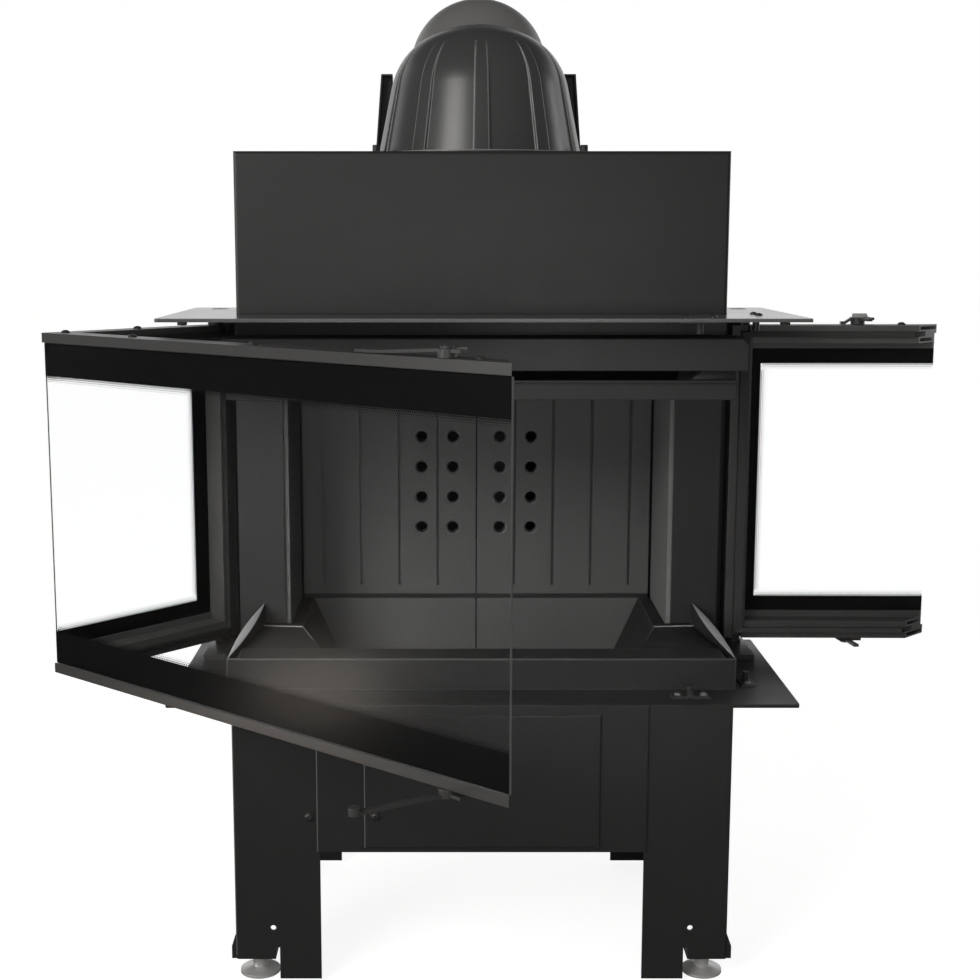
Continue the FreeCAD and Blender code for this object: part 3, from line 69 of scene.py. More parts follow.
# %% Camera
frame_pixels = 980
focal_pixels = 1561.74
axis_x_pixels, axis_y_pixels = 447.51, 487.53
sensor_mm = 36.0
tilt_down = 8.96
camera_data = bpy.data.cameras.new("camera")
camera_data.sensor_width = sensor_mm
camera_data.lens = focal_pixels * sensor_mm / frame_pixels
camera_data.shift_x = (frame_pixels / 2 - axis_x_pixels) / frame_pixels
camera_data.shift_y = (axis_y_pixels - frame_pixels / 2) / frame_pixels
camera = bpy.data.objects.new("camera", camera_data)
camera.location = (-0.04937, -2.13315, 1.06198)
camera.rotation_euler = (math.radians(90.0 - tilt_down), 0.0, 0.0)
scene.collection.objects.link(camera)
scene.camera = camera
print("camera: lens", round(camera_data.lens, 2), "mm, shift", round(camera_data.shift_x, 4))

# %% [markdown]
# ## Light and floor
# Black paint shows its shape by what it mirrors, so the light is soft and wide: an even pale room, one large key lamp
# from the upper left and a weak fill from the front. Two tall strips and one low warm lamp are seen only by gloss:
# they draw the light lines along edges and dome, and the glow low on the front pane.
# The floor and the room are white to the camera, and to what the glass and the metal show, without adding light
# to the object. The real panes mirror a dark studio, so for rays that came off a mirroring surface the room is dark
# in front and above, and white everywhere else.
# A panorama of a studio could light it too, but a few lamps are easier to steer and need no picture file.


# %% Node helpers
def add(tree, kind, **values):
    """One node with its settings; a key that names an input sets that input."""
    node = tree.nodes.new(kind)
    for key, value in values.items():
        if key in node.inputs:
            node.inputs[key].default_value = value
        else:
            setattr(node, key, value)
    return node


def join(tree, start, end):
    tree.links.new(start, end)


def feed(tree, value, socket):
    """Sets an input, from another node's output or from a plain value."""
    if isinstance(value, bpy.types.NodeSocket):
        join(tree, value, socket)
    else:
        socket.default_value = value


def maths(tree, operation, *values, clamp=False):
    """One sum on outputs and plain numbers."""
    node = add(tree, "ShaderNodeMath", operation=operation, use_clamp=clamp)
    for value, socket in zip(values, node.inputs):
        feed(tree, value, socket)
    return node.outputs[0]


def spread(tree, value, start, end, low=0.0, high=1.0, soft=False):
    """Low at start, high at end and level beyond them; soft eases both ends."""
    step = add(tree, "ShaderNodeMapRange", interpolation_type="SMOOTHSTEP" if soft else "LINEAR")
    for label, number in (("From Min", start), ("From Max", end), ("To Min", low), ("To Max", high)):
        step.inputs[label].default_value = number
    join(tree, value, step.inputs["Value"])
    return step.outputs["Result"]


def mix_shaders(tree, factor, one, two):
    node = add(tree, "ShaderNodeMixShader")
    for value, socket in zip((factor, one, two), node.inputs):
        join(tree, value, socket)
    return node.outputs[0]


print("helpers for nodes: add, join, feed, maths, spread, mix_shaders")


# %% Kinds of rays
def seen_rays(tree):
    """1 for rays of the camera and for what glass and metal show."""
    rays = add(tree, "ShaderNodeLightPath")
    direct = maths(tree, "MAXIMUM", rays.outputs["Is Camera Ray"], rays.outputs["Is Glossy Ray"])
    return maths(tree, "MAXIMUM", direct, rays.outputs["Is Transmission Ray"])


def mirrored(tree):
    """1 for rays that came off a mirroring surface."""
    rays = add(tree, "ShaderNodeLightPath")
    return maths(tree, "MINIMUM", rays.outputs["Glossy Depth"], 1.0)


print("masks for rays: seen_rays, mirrored")

# %% World
darkness = 0.97
light_below, light_above = 0.46, 0.2
front_fade, top_fade, height_fade = (0.60, 0.35), (0.34, 0.55), (0.1, 0.9)
world = bpy.data.worlds.new("pale_room")
scene.world = world
world.use_nodes = True
tree = world.node_tree
tree.nodes.clear()
coords = add(tree, "ShaderNodeTexCoord")
way = add(tree, "ShaderNodeSeparateXYZ")
join(tree, coords.outputs["Generated"], way.inputs[0])
dark_front = spread(tree, way.outputs["Y"], *front_fade, soft=True)
dark_above = spread(tree, way.outputs["Z"], *top_fade, soft=True)
studio = maths(tree, "MULTIPLY", maths(tree, "MAXIMUM", dark_front, dark_above), mirrored(tree))
white = add(tree, "ShaderNodeBackground", Color=(1.0, 1.0, 1.0, 1.0))
join(tree, maths(tree, "MULTIPLY_ADD", studio, -darkness, 1.0), white.inputs["Strength"])
room = add(tree, "ShaderNodeBackground", Color=(1.0, 0.99, 0.98, 1.0))
join(tree, spread(tree, way.outputs["Z"], *height_fade, light_below, light_above), room.inputs["Strength"])
out = add(tree, "ShaderNodeOutputWorld")
join(tree, mix_shaders(tree, seen_rays(tree), room.outputs[0], white.outputs[0]), out.inputs["Surface"])
print("world: a pale room, dimmer overhead, dark in front and above for mirrored rays")


# %% Lamps
def soft_lamp(name, place, aim, wide, tall, watts, tint, gloss_only=False):
    """An area lamp that looks from its place to its aim."""
    lamp = bpy.data.lights.new(name, "AREA")
    lamp.shape = "ELLIPSE" if gloss_only else "RECTANGLE"
    lamp.size = wide
    lamp.size_y = tall
    lamp.energy = watts
    lamp.color = tint
    holder = bpy.data.objects.new(name, lamp)
    holder.location = place
    holder.rotation_euler = (Vector(aim) - Vector(place)).to_track_quat("-Z", "Y").to_euler()
    holder.visible_diffuse = not gloss_only
    holder.visible_transmission = not gloss_only
    scene.collection.objects.link(holder)


neutral = (1.0, 1.0, 1.0)
soft_lamp("key_lamp", (-1.9, -2.7, 2.2), (0.0, 0.1, 1.0), 1.5, 1.5, 46.0, (1.0, 0.985, 0.965))
soft_lamp("front_fill", (0.1, -3.4, 0.85), (0.0, 0.3, 0.75), 1.2, 0.8, 8.5, (1.0, 0.99, 0.98))
soft_lamp("left_strip", (-2.6, -1.5, 0.9), (0.0, 0.1, 0.8), 0.25, 2.0, 18.0, neutral, gloss_only=True)
soft_lamp("right_strip", (2.5, 1.1, 1.5), (0.0, 0.3, 1.1), 0.3, 1.6, 6.0, neutral, gloss_only=True)
soft_lamp("low_glow", (-1.66, -0.347, 0.085), (-0.208, -0.26, 0.509), 0.3, 0.15, 1.7, (1.0, 0.88, 0.78),
          gloss_only=True)
print("lamps: key, fill, two strips for the edges and a warm glow for the front pane")


# %% Floor
def blend(tree, factor, one, two, kind="MIX"):
    """Two colours mixed by a factor."""
    node = add(tree, "ShaderNodeMix", data_type="RGBA", blend_type=kind)
    for label, value in (("Factor", factor), ("A", one), ("B", two)):
        feed(tree, value, node.inputs[label])
    return node.outputs["Result"]


def stage_object(name, bm, material):
    mesh = bpy.data.meshes.new(name)
    bm.to_mesh(mesh)
    bm.free()
    mesh.materials.append(material)
    thing = bpy.data.objects.new(name, mesh)
    scene.collection.objects.link(thing)
    thing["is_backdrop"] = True


floor_grey, floor_dark = (0.55, 0.55, 0.55, 1.0), (0.02, 0.018, 0.016, 1.0)
floor_fade = (1.6, 0.8)
floor_glow = 0.85
floor_drop = 0.0005
floor_half = 30.0
pale = bpy.data.materials.new("pale_floor")
pale.use_nodes = True
tree = pale.node_tree
tree.nodes.clear()
place = add(tree, "ShaderNodeNewGeometry")
spot = add(tree, "ShaderNodeSeparateXYZ")
join(tree, place.outputs["Position"], spot.inputs[0])
shade = maths(tree, "MULTIPLY", spread(tree, spot.outputs["Y"], *floor_fade, soft=True), mirrored(tree))
matt = add(tree, "ShaderNodeBsdfDiffuse")
join(tree, blend(tree, shade, floor_grey, floor_dark), matt.inputs["Color"])
glow = add(tree, "ShaderNodeEmission", Color=(1.0, 1.0, 1.0, 1.0))
lit = maths(tree, "SUBTRACT", seen_rays(tree), shade, clamp=True)
join(tree, maths(tree, "MULTIPLY", lit, floor_glow), glow.inputs["Strength"])
both = add(tree, "ShaderNodeAddShader")
join(tree, matt.outputs[0], both.inputs[0])
join(tree, glow.outputs[0], both.inputs[1])
out = add(tree, "ShaderNodeOutputMaterial")
join(tree, both.outputs[0], out.inputs["Surface"])
bm = bmesh.new()
bmesh.ops.create_grid(bm, x_segments=1, y_segments=1, size=floor_half)
bmesh.ops.translate(bm, vec=(0.0, 0.0, -floor_drop), verts=bm.verts)
stage_object("floor", bm, pale)
print("floor:", 2 * floor_half, "m of pale matt ground")

# %% [markdown]
# ## Shared effects
# Two things happen on almost every surface here. Paint has a fine grain and a slow drift in tone.
# A bent or cut sheet has a small round along its edges, which tilts the shading there; a lighter colour along the
# round is a painted highlight, the thin light line it would catch.
# Both are node groups, built once, so that each finish only sets its own values.


# %% Group: paint grain
def new_group(name, inputs, outputs):
    group = bpy.data.node_groups.new(name, "ShaderNodeTree")
    for label, kind, value in inputs:
        socket = group.interface.new_socket(name=label, in_out="INPUT", socket_type=kind)
        socket.default_value = value
    for label, kind in outputs:
        group.interface.new_socket(name=label, in_out="OUTPUT", socket_type=kind)
    return group, add(group, "NodeGroupInput"), add(group, "NodeGroupOutput")


FLOAT, COLOR, VECTOR = "NodeSocketFloat", "NodeSocketColor", "NodeSocketVector"
noise_middle = 0.5
speck_low, speck_high = 0.9, 1.1
grain, given, result = new_group(
    "paint_grain",
    [("Color", COLOR, (0.02, 0.02, 0.02, 1.0)), ("Grain Scale", FLOAT, 700.0), ("Drift", FLOAT, 0.25),
     ("Roughness", FLOAT, 0.5), ("Roughness Drift", FLOAT, 0.12)],
    [("Color", COLOR), ("Roughness", FLOAT), ("Height", FLOAT)])
coords = add(grain, "ShaderNodeTexCoord")
slow = add(grain, "ShaderNodeTexNoise", Scale=3.2, Detail=3.0, Roughness=0.55)
smudge = add(grain, "ShaderNodeTexNoise", Scale=22.0, Detail=4.0, Roughness=0.6)
fine = add(grain, "ShaderNodeTexNoise", Detail=2.0, Roughness=0.5)
for noise in (slow, smudge, fine):
    join(grain, coords.outputs["Object"], noise.inputs["Vector"])
join(grain, given.outputs["Grain Scale"], fine.inputs["Scale"])
centred = maths(grain, "SUBTRACT", slow.outputs["Fac"], noise_middle)
swing = maths(grain, "MULTIPLY_ADD", centred, given.outputs["Drift"], 1.0)
speck = spread(grain, fine.outputs["Fac"], 0.0, 1.0, speck_low, speck_high)
tone = maths(grain, "MULTIPLY", swing, speck)
join(grain, blend(grain, 1.0, given.outputs["Color"], tone, "MULTIPLY"), result.inputs["Color"])
uneven = maths(grain, "SUBTRACT", smudge.outputs["Fac"], noise_middle)
rough = maths(grain, "MULTIPLY_ADD", uneven, given.outputs["Roughness Drift"], given.outputs["Roughness"], clamp=True)
join(grain, rough, result.inputs["Roughness"])
join(grain, fine.outputs["Fac"], result.inputs["Height"])
print("group paint_grain:", len(grain.nodes), "nodes")

# %% Group: rounded edge, and a painted highlight along it
edge_begins, edge_full = 0.995, 0.85
edge, given, result = new_group(
    "rounded_edge_highlight",
    [("Color", COLOR, (0.02, 0.02, 0.02, 1.0)), ("Edge Color", COLOR, (0.1, 0.1, 0.1, 1.0)),
     ("Radius", FLOAT, 0.0015), ("Edge Amount", FLOAT, 0.5)],
    [("Color", COLOR), ("Normal", VECTOR)])
bevel = add(edge, "ShaderNodeBevel", samples=4)
join(edge, given.outputs["Radius"], bevel.inputs["Radius"])
flat = add(edge, "ShaderNodeNewGeometry")
match = add(edge, "ShaderNodeVectorMath", operation="DOT_PRODUCT")
join(edge, bevel.outputs["Normal"], match.inputs[0])
join(edge, flat.outputs["Normal"], match.inputs[1])
# The lighter second colour mixed in along the round is a painted highlight; only the Bevel normal is the real round.
mask = spread(edge, match.outputs["Value"], edge_begins, edge_full)
amount = maths(edge, "MULTIPLY", mask, given.outputs["Edge Amount"], clamp=True)
join(edge, blend(edge, amount, given.outputs["Color"], given.outputs["Edge Color"]), result.inputs["Color"])
join(edge, bevel.outputs["Normal"], result.inputs["Normal"])
print("group rounded_edge_highlight:", len(edge.nodes), "nodes")

# %% [markdown]
# ## Finishes
# The body wears matt heat-proof paint, the door rails a satin graphite paint, the dome a painted casting.
# The feet are zinc; beside them only one tab is bright steel, and the pale lips of the retainers are a painted
# highlight. Each finish is one Principled shader fed by the two groups, so that colour, gloss and relief drift
# together. Painted textures could do the same, but noise in space has no seams, needs no unwrapping and suits every
# solid at once.

# %% Finish maker
finishes = {}
paint_drift, gloss_drift, grain_depth = 0.22, 0.1, 0.0004


def new_finish(name):
    material = bpy.data.materials.new(name)
    material.use_nodes = True
    finishes[name] = material
    return material.node_tree, material.node_tree.nodes["Principled BSDF"]


def place_group(tree, group, **values):
    node = tree.nodes.new("ShaderNodeGroup")
    node.node_tree = group
    for key, value in values.items():
        node.inputs[key.replace("_", " ")].default_value = value
    return node


def rgb(level, warm=0.0):
    """A grey with a slight lean to warm or cool."""
    return (level * (1.0 + warm), level, level * (1.0 - warm), 1.0)


def dress(tree, shader, skin, rim, height, bump, depth):
    """Feeds a shader from its grain, its edges where it has any, and a relief."""
    relief = add(tree, "ShaderNodeBump", Strength=bump, Distance=depth)
    join(tree, height, relief.inputs["Height"])
    colour = skin.outputs["Color"]
    if rim:
        join(tree, colour, rim.inputs["Color"])
        join(tree, rim.outputs["Normal"], relief.inputs["Normal"])
        colour = rim.outputs["Color"]
    join(tree, colour, shader.inputs["Base Color"])
    join(tree, skin.outputs["Roughness"], shader.inputs["Roughness"])
    join(tree, relief.outputs["Normal"], shader.inputs["Normal"])


def painted(name, colour, edge_highlight_colour, roughness, grain_scale, bump, radius=0.0014, edge_highlight_amount=0.5, specular=0.5):
    """Paint on steel: grain, drift, and on every edge a painted highlight, a light line."""
    tree, shader = new_finish(name)
    skin = place_group(tree, grain, Color=colour, Grain_Scale=grain_scale, Drift=paint_drift,
                       Roughness=roughness, Roughness_Drift=gloss_drift)
    rim = place_group(tree, edge, Edge_Color=edge_highlight_colour, Radius=radius, Edge_Amount=edge_highlight_amount)
    dress(tree, shader, skin, rim, skin.outputs["Height"], bump, grain_depth)
    shader.inputs["Specular IOR Level"].default_value = specular


print("finish maker: one Principled shader fed by", grain.name, "and", edge.name)

# %% Paints and casting
# The second, lighter colour of each finish is its painted highlight along the edges.
painted("body_paint", rgb(0.028), rgb(0.075), 0.38, 900.0, 0.25, radius=0.0026, specular=0.45)
painted("door_paint", rgb(0.056, 0.02), rgb(0.14), 0.38, 900.0, 0.2, radius=0.0012)
# The top plate is paler than the body, a painted sheen, with a strong painted highlight along its front edge.
painted("deck_sheen_paint", rgb(0.11), rgb(0.26), 0.2, 900.0, 0.1, radius=0.004, edge_highlight_amount=0.8)
# The log retainer has the body paint with a stronger painted highlight along its edges.
painted("bent_paint_highlit", rgb(0.028), rgb(0.16), 0.38, 900.0, 0.25, radius=0.0045, edge_highlight_amount=0.8, specular=0.45)
# A paler copy of the door paint for the right top rail: painted light.
painted("lit_rail_paint", rgb(0.095, 0.02), rgb(0.2), 0.38, 900.0, 0.2, radius=0.0012)
# A paler paint on the flue head stands for light from above on it: painted light.
painted("lit_head_paint", rgb(0.19, 0.02), rgb(0.3), 0.4, 420.0, 0.3, radius=0.0015, edge_highlight_amount=0.4)
# The dome's ribs take a strong painted highlight along their edges from the pale edge colour.
painted("cast", rgb(0.066), rgb(0.5), 0.3, 420.0, 0.2, radius=0.003, edge_highlight_amount=1.0, specular=0.8)
painted("bare_steel", rgb(0.035), rgb(0.2), 0.34, 1200.0, 0.15, radius=0.0009)
painted("hearth_iron", rgb(0.03), rgb(0.26), 0.55, 500.0, 0.35, radius=0.0022, specular=0.3)
# Pale steel: the bright latch tab, and the retainer lips and shelf beads, which are painted highlights.
painted("pale_steel_and_highlight", rgb(0.4), rgb(0.5), 0.4, 700.0, 0.15, radius=0.0006)
# Pale ground finish: the ground glass edge and the catch screws, and the strips of painted highlight on the left
# bends.
painted("ground_edge", rgb(0.13), rgb(0.2), 0.6, 1500.0, 0.2, radius=0.0004)
# Near black for the duct and the baffle, which lie in deep shade: painted shade.
painted("painted_shade_black", rgb(0.005), rgb(0.01), 0.9, 500.0, 0.3, specular=0.1)
painted("hole_rim", rgb(0.13), rgb(0.2), 0.7, 500.0, 0.3, radius=0.0008)
print("paints:", sorted(finishes))

# %% [markdown]
# ## Brick
# The firebox is lined with slabs pressed from mineral grains, so they are rough and full of fine pits.
# The pits are cells of random size, multiplied with the fine grain, and they only tilt the surface:
# real dents would cost many faces and look no better from here. The slab on the right takes more light
# in the picture, so it has a paler tone of its own.

# %% Brick
for name, level in (("brick", 0.105), ("pale_brick", 0.19)):
    tree, shader = new_finish(name)
    skin = place_group(tree, grain, Color=rgb(level, 0.01), Grain_Scale=330.0, Drift=0.3,
                       Roughness=0.82, Roughness_Drift=0.1)
    # The paler edge colour is a painted highlight along the slab edges.
    rim = place_group(tree, edge, Edge_Color=rgb(0.22), Radius=0.0016, Edge_Amount=0.4)
    coords = add(tree, "ShaderNodeTexCoord")
    pits = add(tree, "ShaderNodeTexVoronoi", Scale=260.0, Randomness=1.0)
    join(tree, coords.outputs["Object"], pits.inputs["Vector"])
    hollow = spread(tree, pits.outputs["Distance"], 0.0, 0.35)
    lumps = maths(tree, "MULTIPLY", hollow, skin.outputs["Height"])
    dress(tree, shader, skin, rim, lumps, 0.5, 0.0006)
print("brick: pressed grains with pits, in two tones")

# %% [markdown]
# ## Glass and its print
# The panes are thin, so they hardly bend what lies behind them: the index is close to 1.
# Their gloss comes from a weak, slightly rough coat instead, which mirrors the lamps as a soft glow.
# For shadows a pane is simply clear. The print is as dark as it gets and has no gloss of its own.

# %% Glass and print
tree, shader = new_finish("glass")
for label, value in (("Base Color", (0.995, 1.0, 0.998, 1.0)), ("Roughness", 0.0), ("IOR", 1.02),
                     ("Transmission Weight", 1.0), ("Coat Weight", 0.085), ("Coat Roughness", 0.2)):
    shader.inputs[label].default_value = value
clear = add(tree, "ShaderNodeBsdfTransparent", Color=(0.96, 0.97, 0.965, 1.0))
rays = add(tree, "ShaderNodeLightPath")
pane = mix_shaders(tree, rays.outputs["Is Shadow Ray"], shader.outputs[0], clear.outputs[0])
join(tree, pane, tree.nodes["Material Output"].inputs["Surface"])

tree, shader = new_finish("print_black")
skin = place_group(tree, grain, Color=rgb(0.004), Grain_Scale=1500.0, Drift=0.2, Roughness=0.35, Roughness_Drift=0.1)
join(tree, skin.outputs["Color"], shader.inputs["Base Color"])
join(tree, skin.outputs["Roughness"], shader.inputs["Roughness"])
shader.inputs["Specular IOR Level"].default_value = 0.0
print("glass and its print")

# %% [markdown]
# ## Rope and zinc
# The seals are braided rope. A slanting wave stands for the braid, as relief alone, since the strands are finer than
# a modelled braid would be worth. The feet are zinc-plated: partly metal and partly white, which keeps them
# light even where they mirror the dark legs.

# %% Rope and zinc
# The right seal takes a paler copy of the rope: painted light.
for name, level in (("rope", 0.012), ("lit_rope", 0.045)):
    tree, shader = new_finish(name)
    coords = add(tree, "ShaderNodeTexCoord")
    braid = add(tree, "ShaderNodeTexWave", Scale=170.0, Distortion=2.0, Detail=2.0, bands_direction="DIAGONAL")
    join(tree, coords.outputs["Object"], braid.inputs["Vector"])
    skin = place_group(tree, grain, Color=rgb(level), Grain_Scale=1300.0, Drift=0.3,
                       Roughness=0.9, Roughness_Drift=0.1)
    dress(tree, shader, skin, None, braid.outputs["Fac"], 0.6, 0.0006)

tree, shader = new_finish("zinc")
skin = place_group(tree, grain, Color=rgb(0.74, 0.01), Grain_Scale=600.0, Drift=0.2,
                   Roughness=0.32, Roughness_Drift=0.15)
rim = place_group(tree, edge, Edge_Color=rgb(0.75), Radius=0.0008, Edge_Amount=0.4)
dress(tree, shader, skin, rim, skin.outputs["Height"], 0.15, 0.0003)
shader.inputs["Metallic"].default_value = 0.4
print("finishes:", sorted(finishes))

# %% [markdown]
# ## Finishes on the solids
# Every solid names its slot, and most take the finish of that name. A few look different in the picture and get
# one of their own: the top plate, paler as a painted sheen; the bent log retainer, with a stronger painted highlight
# on its edges; and the duct and the baffle, which lie in deep shade and are painted near black, as painted shade. The
# flue head, the right top rail, the right seal and the right slab take paler copies of their finish, which is painted
# light.

# %% Finishes on the solids
own_finish = {"hearth_slopes": "hearth_iron", "front_slope": "hearth_iron", "flue_head": "lit_head_paint",
              "top_plate": "deck_sheen_paint", "log_retainer": "bent_paint_highlit", "air_duct": "painted_shade_black", "baffle": "painted_shade_black",
              "right_brick": "pale_brick", "right_top_rail": "lit_rail_paint", "right_seal": "lit_rope"}
for part in frame["record"]["subparts"]:
    solid = nodes[part["node"]]
    solid.data.materials.clear()
    solid.data.materials.append(finishes[own_finish.get(part["node"], part["material_slot"])])
print("dressed", len(nodes), "solids")

# %% [markdown]
# ## The doors' own frame
# Both doors stand open, so a place on a door is easiest to give as if the door were shut:
# a distance from the corner along the glass, a distance inward from the glass, and a height.
# One matrix per door then turns that place open about its hinge.

# %% Door places
door_low, door_high = 0.433, 0.933
hinge_x, hinge_y = 0.413, 0.329
hinge_reach, hinge_inset = 0.311, 0.017
front_run, side_run = 0.860, hinge_reach + 0.018
left_open, right_open = -40.9, 89.3
door_turn = {
    "left": Matrix.Translation((-hinge_x, hinge_y, 0.0)) @ Matrix.Rotation(math.radians(left_open), 4, "Z"),
    "right": Matrix.Translation((hinge_x, hinge_y, 0.0)) @ Matrix.Rotation(math.radians(right_open), 4, "Z"),
}
# A pane's own frame: x along the pane, y inward through it, z up.
left_side_way = Matrix(((0, 1, 0, 0), (1, 0, 0, 0), (0, 0, 1, 0), (0, 0, 0, 1)))
right_side_way = Matrix(((0, -1, 0, 0), (1, 0, 0, 0), (0, 0, 1, 0), (0, 0, 0, 1)))
left_corner = door_turn["left"] @ Matrix.Translation((-hinge_inset, -hinge_reach, 0.0))
right_corner = door_turn["right"] @ Matrix.Translation((hinge_inset, -hinge_reach, 0.0))
pane_frame = {"left_front": left_corner, "left_side": left_corner @ left_side_way,
              "right": right_corner @ right_side_way}
for name, turn in pane_frame.items():
    print(name, "starts at", [round(v, 3) for v in turn.translation])


# %% Piece maker
def new_piece(name, bm, finish, body, smooth=False):
    """Closes a bmesh into a piece that rides on a body."""
    bmesh.ops.recalc_face_normals(bm, faces=bm.faces)
    mesh = bpy.data.meshes.new(name)
    bm.to_mesh(mesh)
    bm.free()
    mesh.materials.append(finishes[finish])
    piece = bpy.data.objects.new(name, mesh)
    scene.collection.objects.link(piece)
    if smooth:
        mesh.shade_smooth()
        mesh.set_sharp_from_angle(angle=math.radians(35.0))
    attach(piece, body)
    return piece


def block(bm, low, high, turn=Matrix()):
    """A box between two corners, then turned into place."""
    low, high = Vector(low), Vector(high)
    scale = Matrix.Diagonal((*(high - low), 1.0))
    made = bmesh.ops.create_cube(bm, size=1.0, matrix=turn @ Matrix.Translation((low + high) / 2) @ scale)
    return made["verts"]


# %% [markdown]
# ## The print on the glass
# The panes carry a black ceramic print along their rims, which hides the rails and the rope behind them.
# Towards the clear glass the print breaks up into three rows of dots that get smaller.
# It could be a mask in the glass, but thin bands and small discs stay crisp from near and far,
# and they move with their door like any other piece.

# %% Print bands
print_edge = 0.062
print_depth, print_thick = 0.0039, 0.0002
dot_depth = print_depth - 0.00005
glass_rim = 0.0147
corner_clear = 0.009
dot_pitch, row_pitch = 0.0036, 0.8 * 0.0036
dot_sizes = (0.00135, 0.001, 0.00065)


def print_band(bm, turn, x0, x1, z0, z1):
    block(bm, (x0, print_depth - print_thick, z0), (x1, print_depth, z1), turn)


def dot_rows(bm, turn, start, along, inward, length):
    """Rows of shrinking dots beside a straight border."""
    start, along, inward = Vector(start), Vector(along), Vector(inward)
    upright = Matrix.Rotation(math.pi / 2, 4, "X")
    for row, radius in enumerate(dot_sizes):
        shift = 0.5 * (row % 2)
        for i in range(int(length / dot_pitch)):
            spot = start + along * (dot_pitch * (i + 0.5 + shift)) + inward * (row_pitch * (row + 0.55))
            bmesh.ops.create_circle(bm, cap_ends=True, segments=8, radius=radius,
                                    matrix=turn @ Matrix.Translation(spot) @ upright)


upper = door_high - print_edge
lower = door_low + print_edge
# Each pane: its body, where its print starts and ends, and how wide the band beside the hinge is.
panes = {
    "left_front": ("left_door", 0.0008, front_run - 0.0022, 0.0),
    "left_side": ("left_door", 0.0052, 0.3232, 0.060),
    "right": ("right_door", 0.0052, 0.3232, 0.052),
}
for name, (body, start, end, hinge_band) in panes.items():
    turn = pane_frame[name]
    bm = bmesh.new()
    print_band(bm, turn, start, end, upper, door_high - glass_rim)
    print_band(bm, turn, start, end, door_low + glass_rim, lower)
    clear_end = end
    if hinge_band:
        clear_end = side_run - hinge_band
        print_band(bm, turn, clear_end, end, lower, upper)
    new_piece(f"{name}_print", bm, "print_black", body)
    bm = bmesh.new()
    dot_rows(bm, turn, (start, dot_depth, upper), (1, 0, 0), (0, 0, -1), clear_end - start)
    dot_rows(bm, turn, (start, dot_depth, lower), (1, 0, 0), (0, 0, 1), clear_end - start)
    if hinge_band:
        dot_rows(bm, turn, (clear_end, dot_depth, lower + corner_clear), (0, 0, 1), (-1, 0, 0),
                 upper - lower - 2 * corner_clear)
    dots = new_piece(f"{name}_dots", bm, "print_black", body)
    print(name, "print:", len(dots.data.polygons), "dots")

# %% [markdown]
# ## Screws
# Low domed screws hold the rails together along the doors' top and bottom edges, and a few bolts sit on the plate,
# the legs and the bell's flange. One way of working serves them all: a disc that is raised and drawn in by steps.
# A screw is raised once, drawn in three times and given a socket.


# %% Screw maker
def turned(bm, seat, sides, radius, steps):
    """A disc that is raised and drawn in by steps; the seat's z is up."""
    made = bmesh.ops.create_circle(bm, cap_ends=True, segments=sides, radius=radius, matrix=seat)
    up = seat.to_3x3() @ Vector((0, 0, 1))
    face = made["verts"][0].link_faces[0]
    for draw_in, rise in steps:
        if draw_in:
            bmesh.ops.inset_region(bm, faces=[face], thickness=draw_in, use_even_offset=True)
        else:
            face = bmesh.ops.extrude_discrete_faces(bm, faces=[face])["faces"][0]
        bmesh.ops.translate(bm, vec=up * rise, verts=face.verts)


screw_sides = 18
screw_shape = ((0.0, 0.35), (0.22, 0.33), (0.30, 0.22), (0.22, 0.06), (0.0, -0.55))


def domed_screw(bm, seat, radius, height):
    turned(bm, seat, screw_sides, radius, [(draw_in * radius, rise * height) for draw_in, rise in screw_shape])


def screw_set(name, body, seats, radius, height, finish="bare_steel"):
    bm = bmesh.new()
    for seat in seats:
        domed_screw(bm, seat, radius, height)
    new_piece(name, bm, finish, body, smooth=True)
    print(name, "has", len(seats))


def upright_at(x, y, z):
    return Matrix.Translation((x, y, z))


print("screw maker:", len(screw_shape), "steps from a disc of", screw_sides, "sides")

# %% Screws on the doors
flip = Matrix.Rotation(math.pi, 4, "X")
door_screw = (0.0062, 0.0042)
front_screws = [(front_run - s, 0.0225) for s in (0.834, 0.681, 0.437, 0.228, 0.062)]
side_screws = [(0.156, 0.019)]
right_screws = [(0.062, 0.019), (0.245, 0.019)]


def door_seats(pane, spots):
    """Seats on top of a door and, upside down, below it."""
    seats = []
    for x, y in spots:
        seats.append(pane_frame[pane] @ upright_at(x, y, door_high))
        seats.append(pane_frame[pane] @ upright_at(x, y, door_low) @ flip)
    return seats


left_seats = door_seats("left_front", front_screws) + door_seats("left_side", side_screws)
screw_set("left_door_screws", "left_door", left_seats, *door_screw)
screw_set("right_door_screws", "right_door", door_seats("right", right_screws), *door_screw)

# %% [markdown]
# ## Bolts and screws on the body
# The catch posts are screwed through both plates, the bell is bolted down through its flange, and two domed bolts
# show on the left of the base. A bolt is a round washer with a six-sided head on it, so the steps of raising and
# drawing in that made the screws also make the bolts, with another count of sides.


# %% Bolt maker
washer, head = (20, 1.45, 0.0, 0.22), (6, 1.0, 0.22, 1.0)
chamfer_in, chamfer_up = 0.14, 0.07


def hex_bolt(bm, seat, radius, height):
    """A washer with a six-sided head on it; the seat's z is up."""
    for sides, reach, low, high in (washer, head):
        base = seat @ upright_at(0.0, 0.0, low * height)
        turned(bm, base, sides, reach * radius,
               [(0.0, (high - low) * height), (chamfer_in * radius, chamfer_up * height)])


def bolt_set(name, body, seats, radius, height):
    bm = bmesh.new()
    for seat in seats:
        hex_bolt(bm, seat, radius, height)
    new_piece(name, bm, "bare_steel", body, smooth=True)
    print(name, "has", len(seats))


print("bolt maker: a head of", head[0], "sides on a washer")

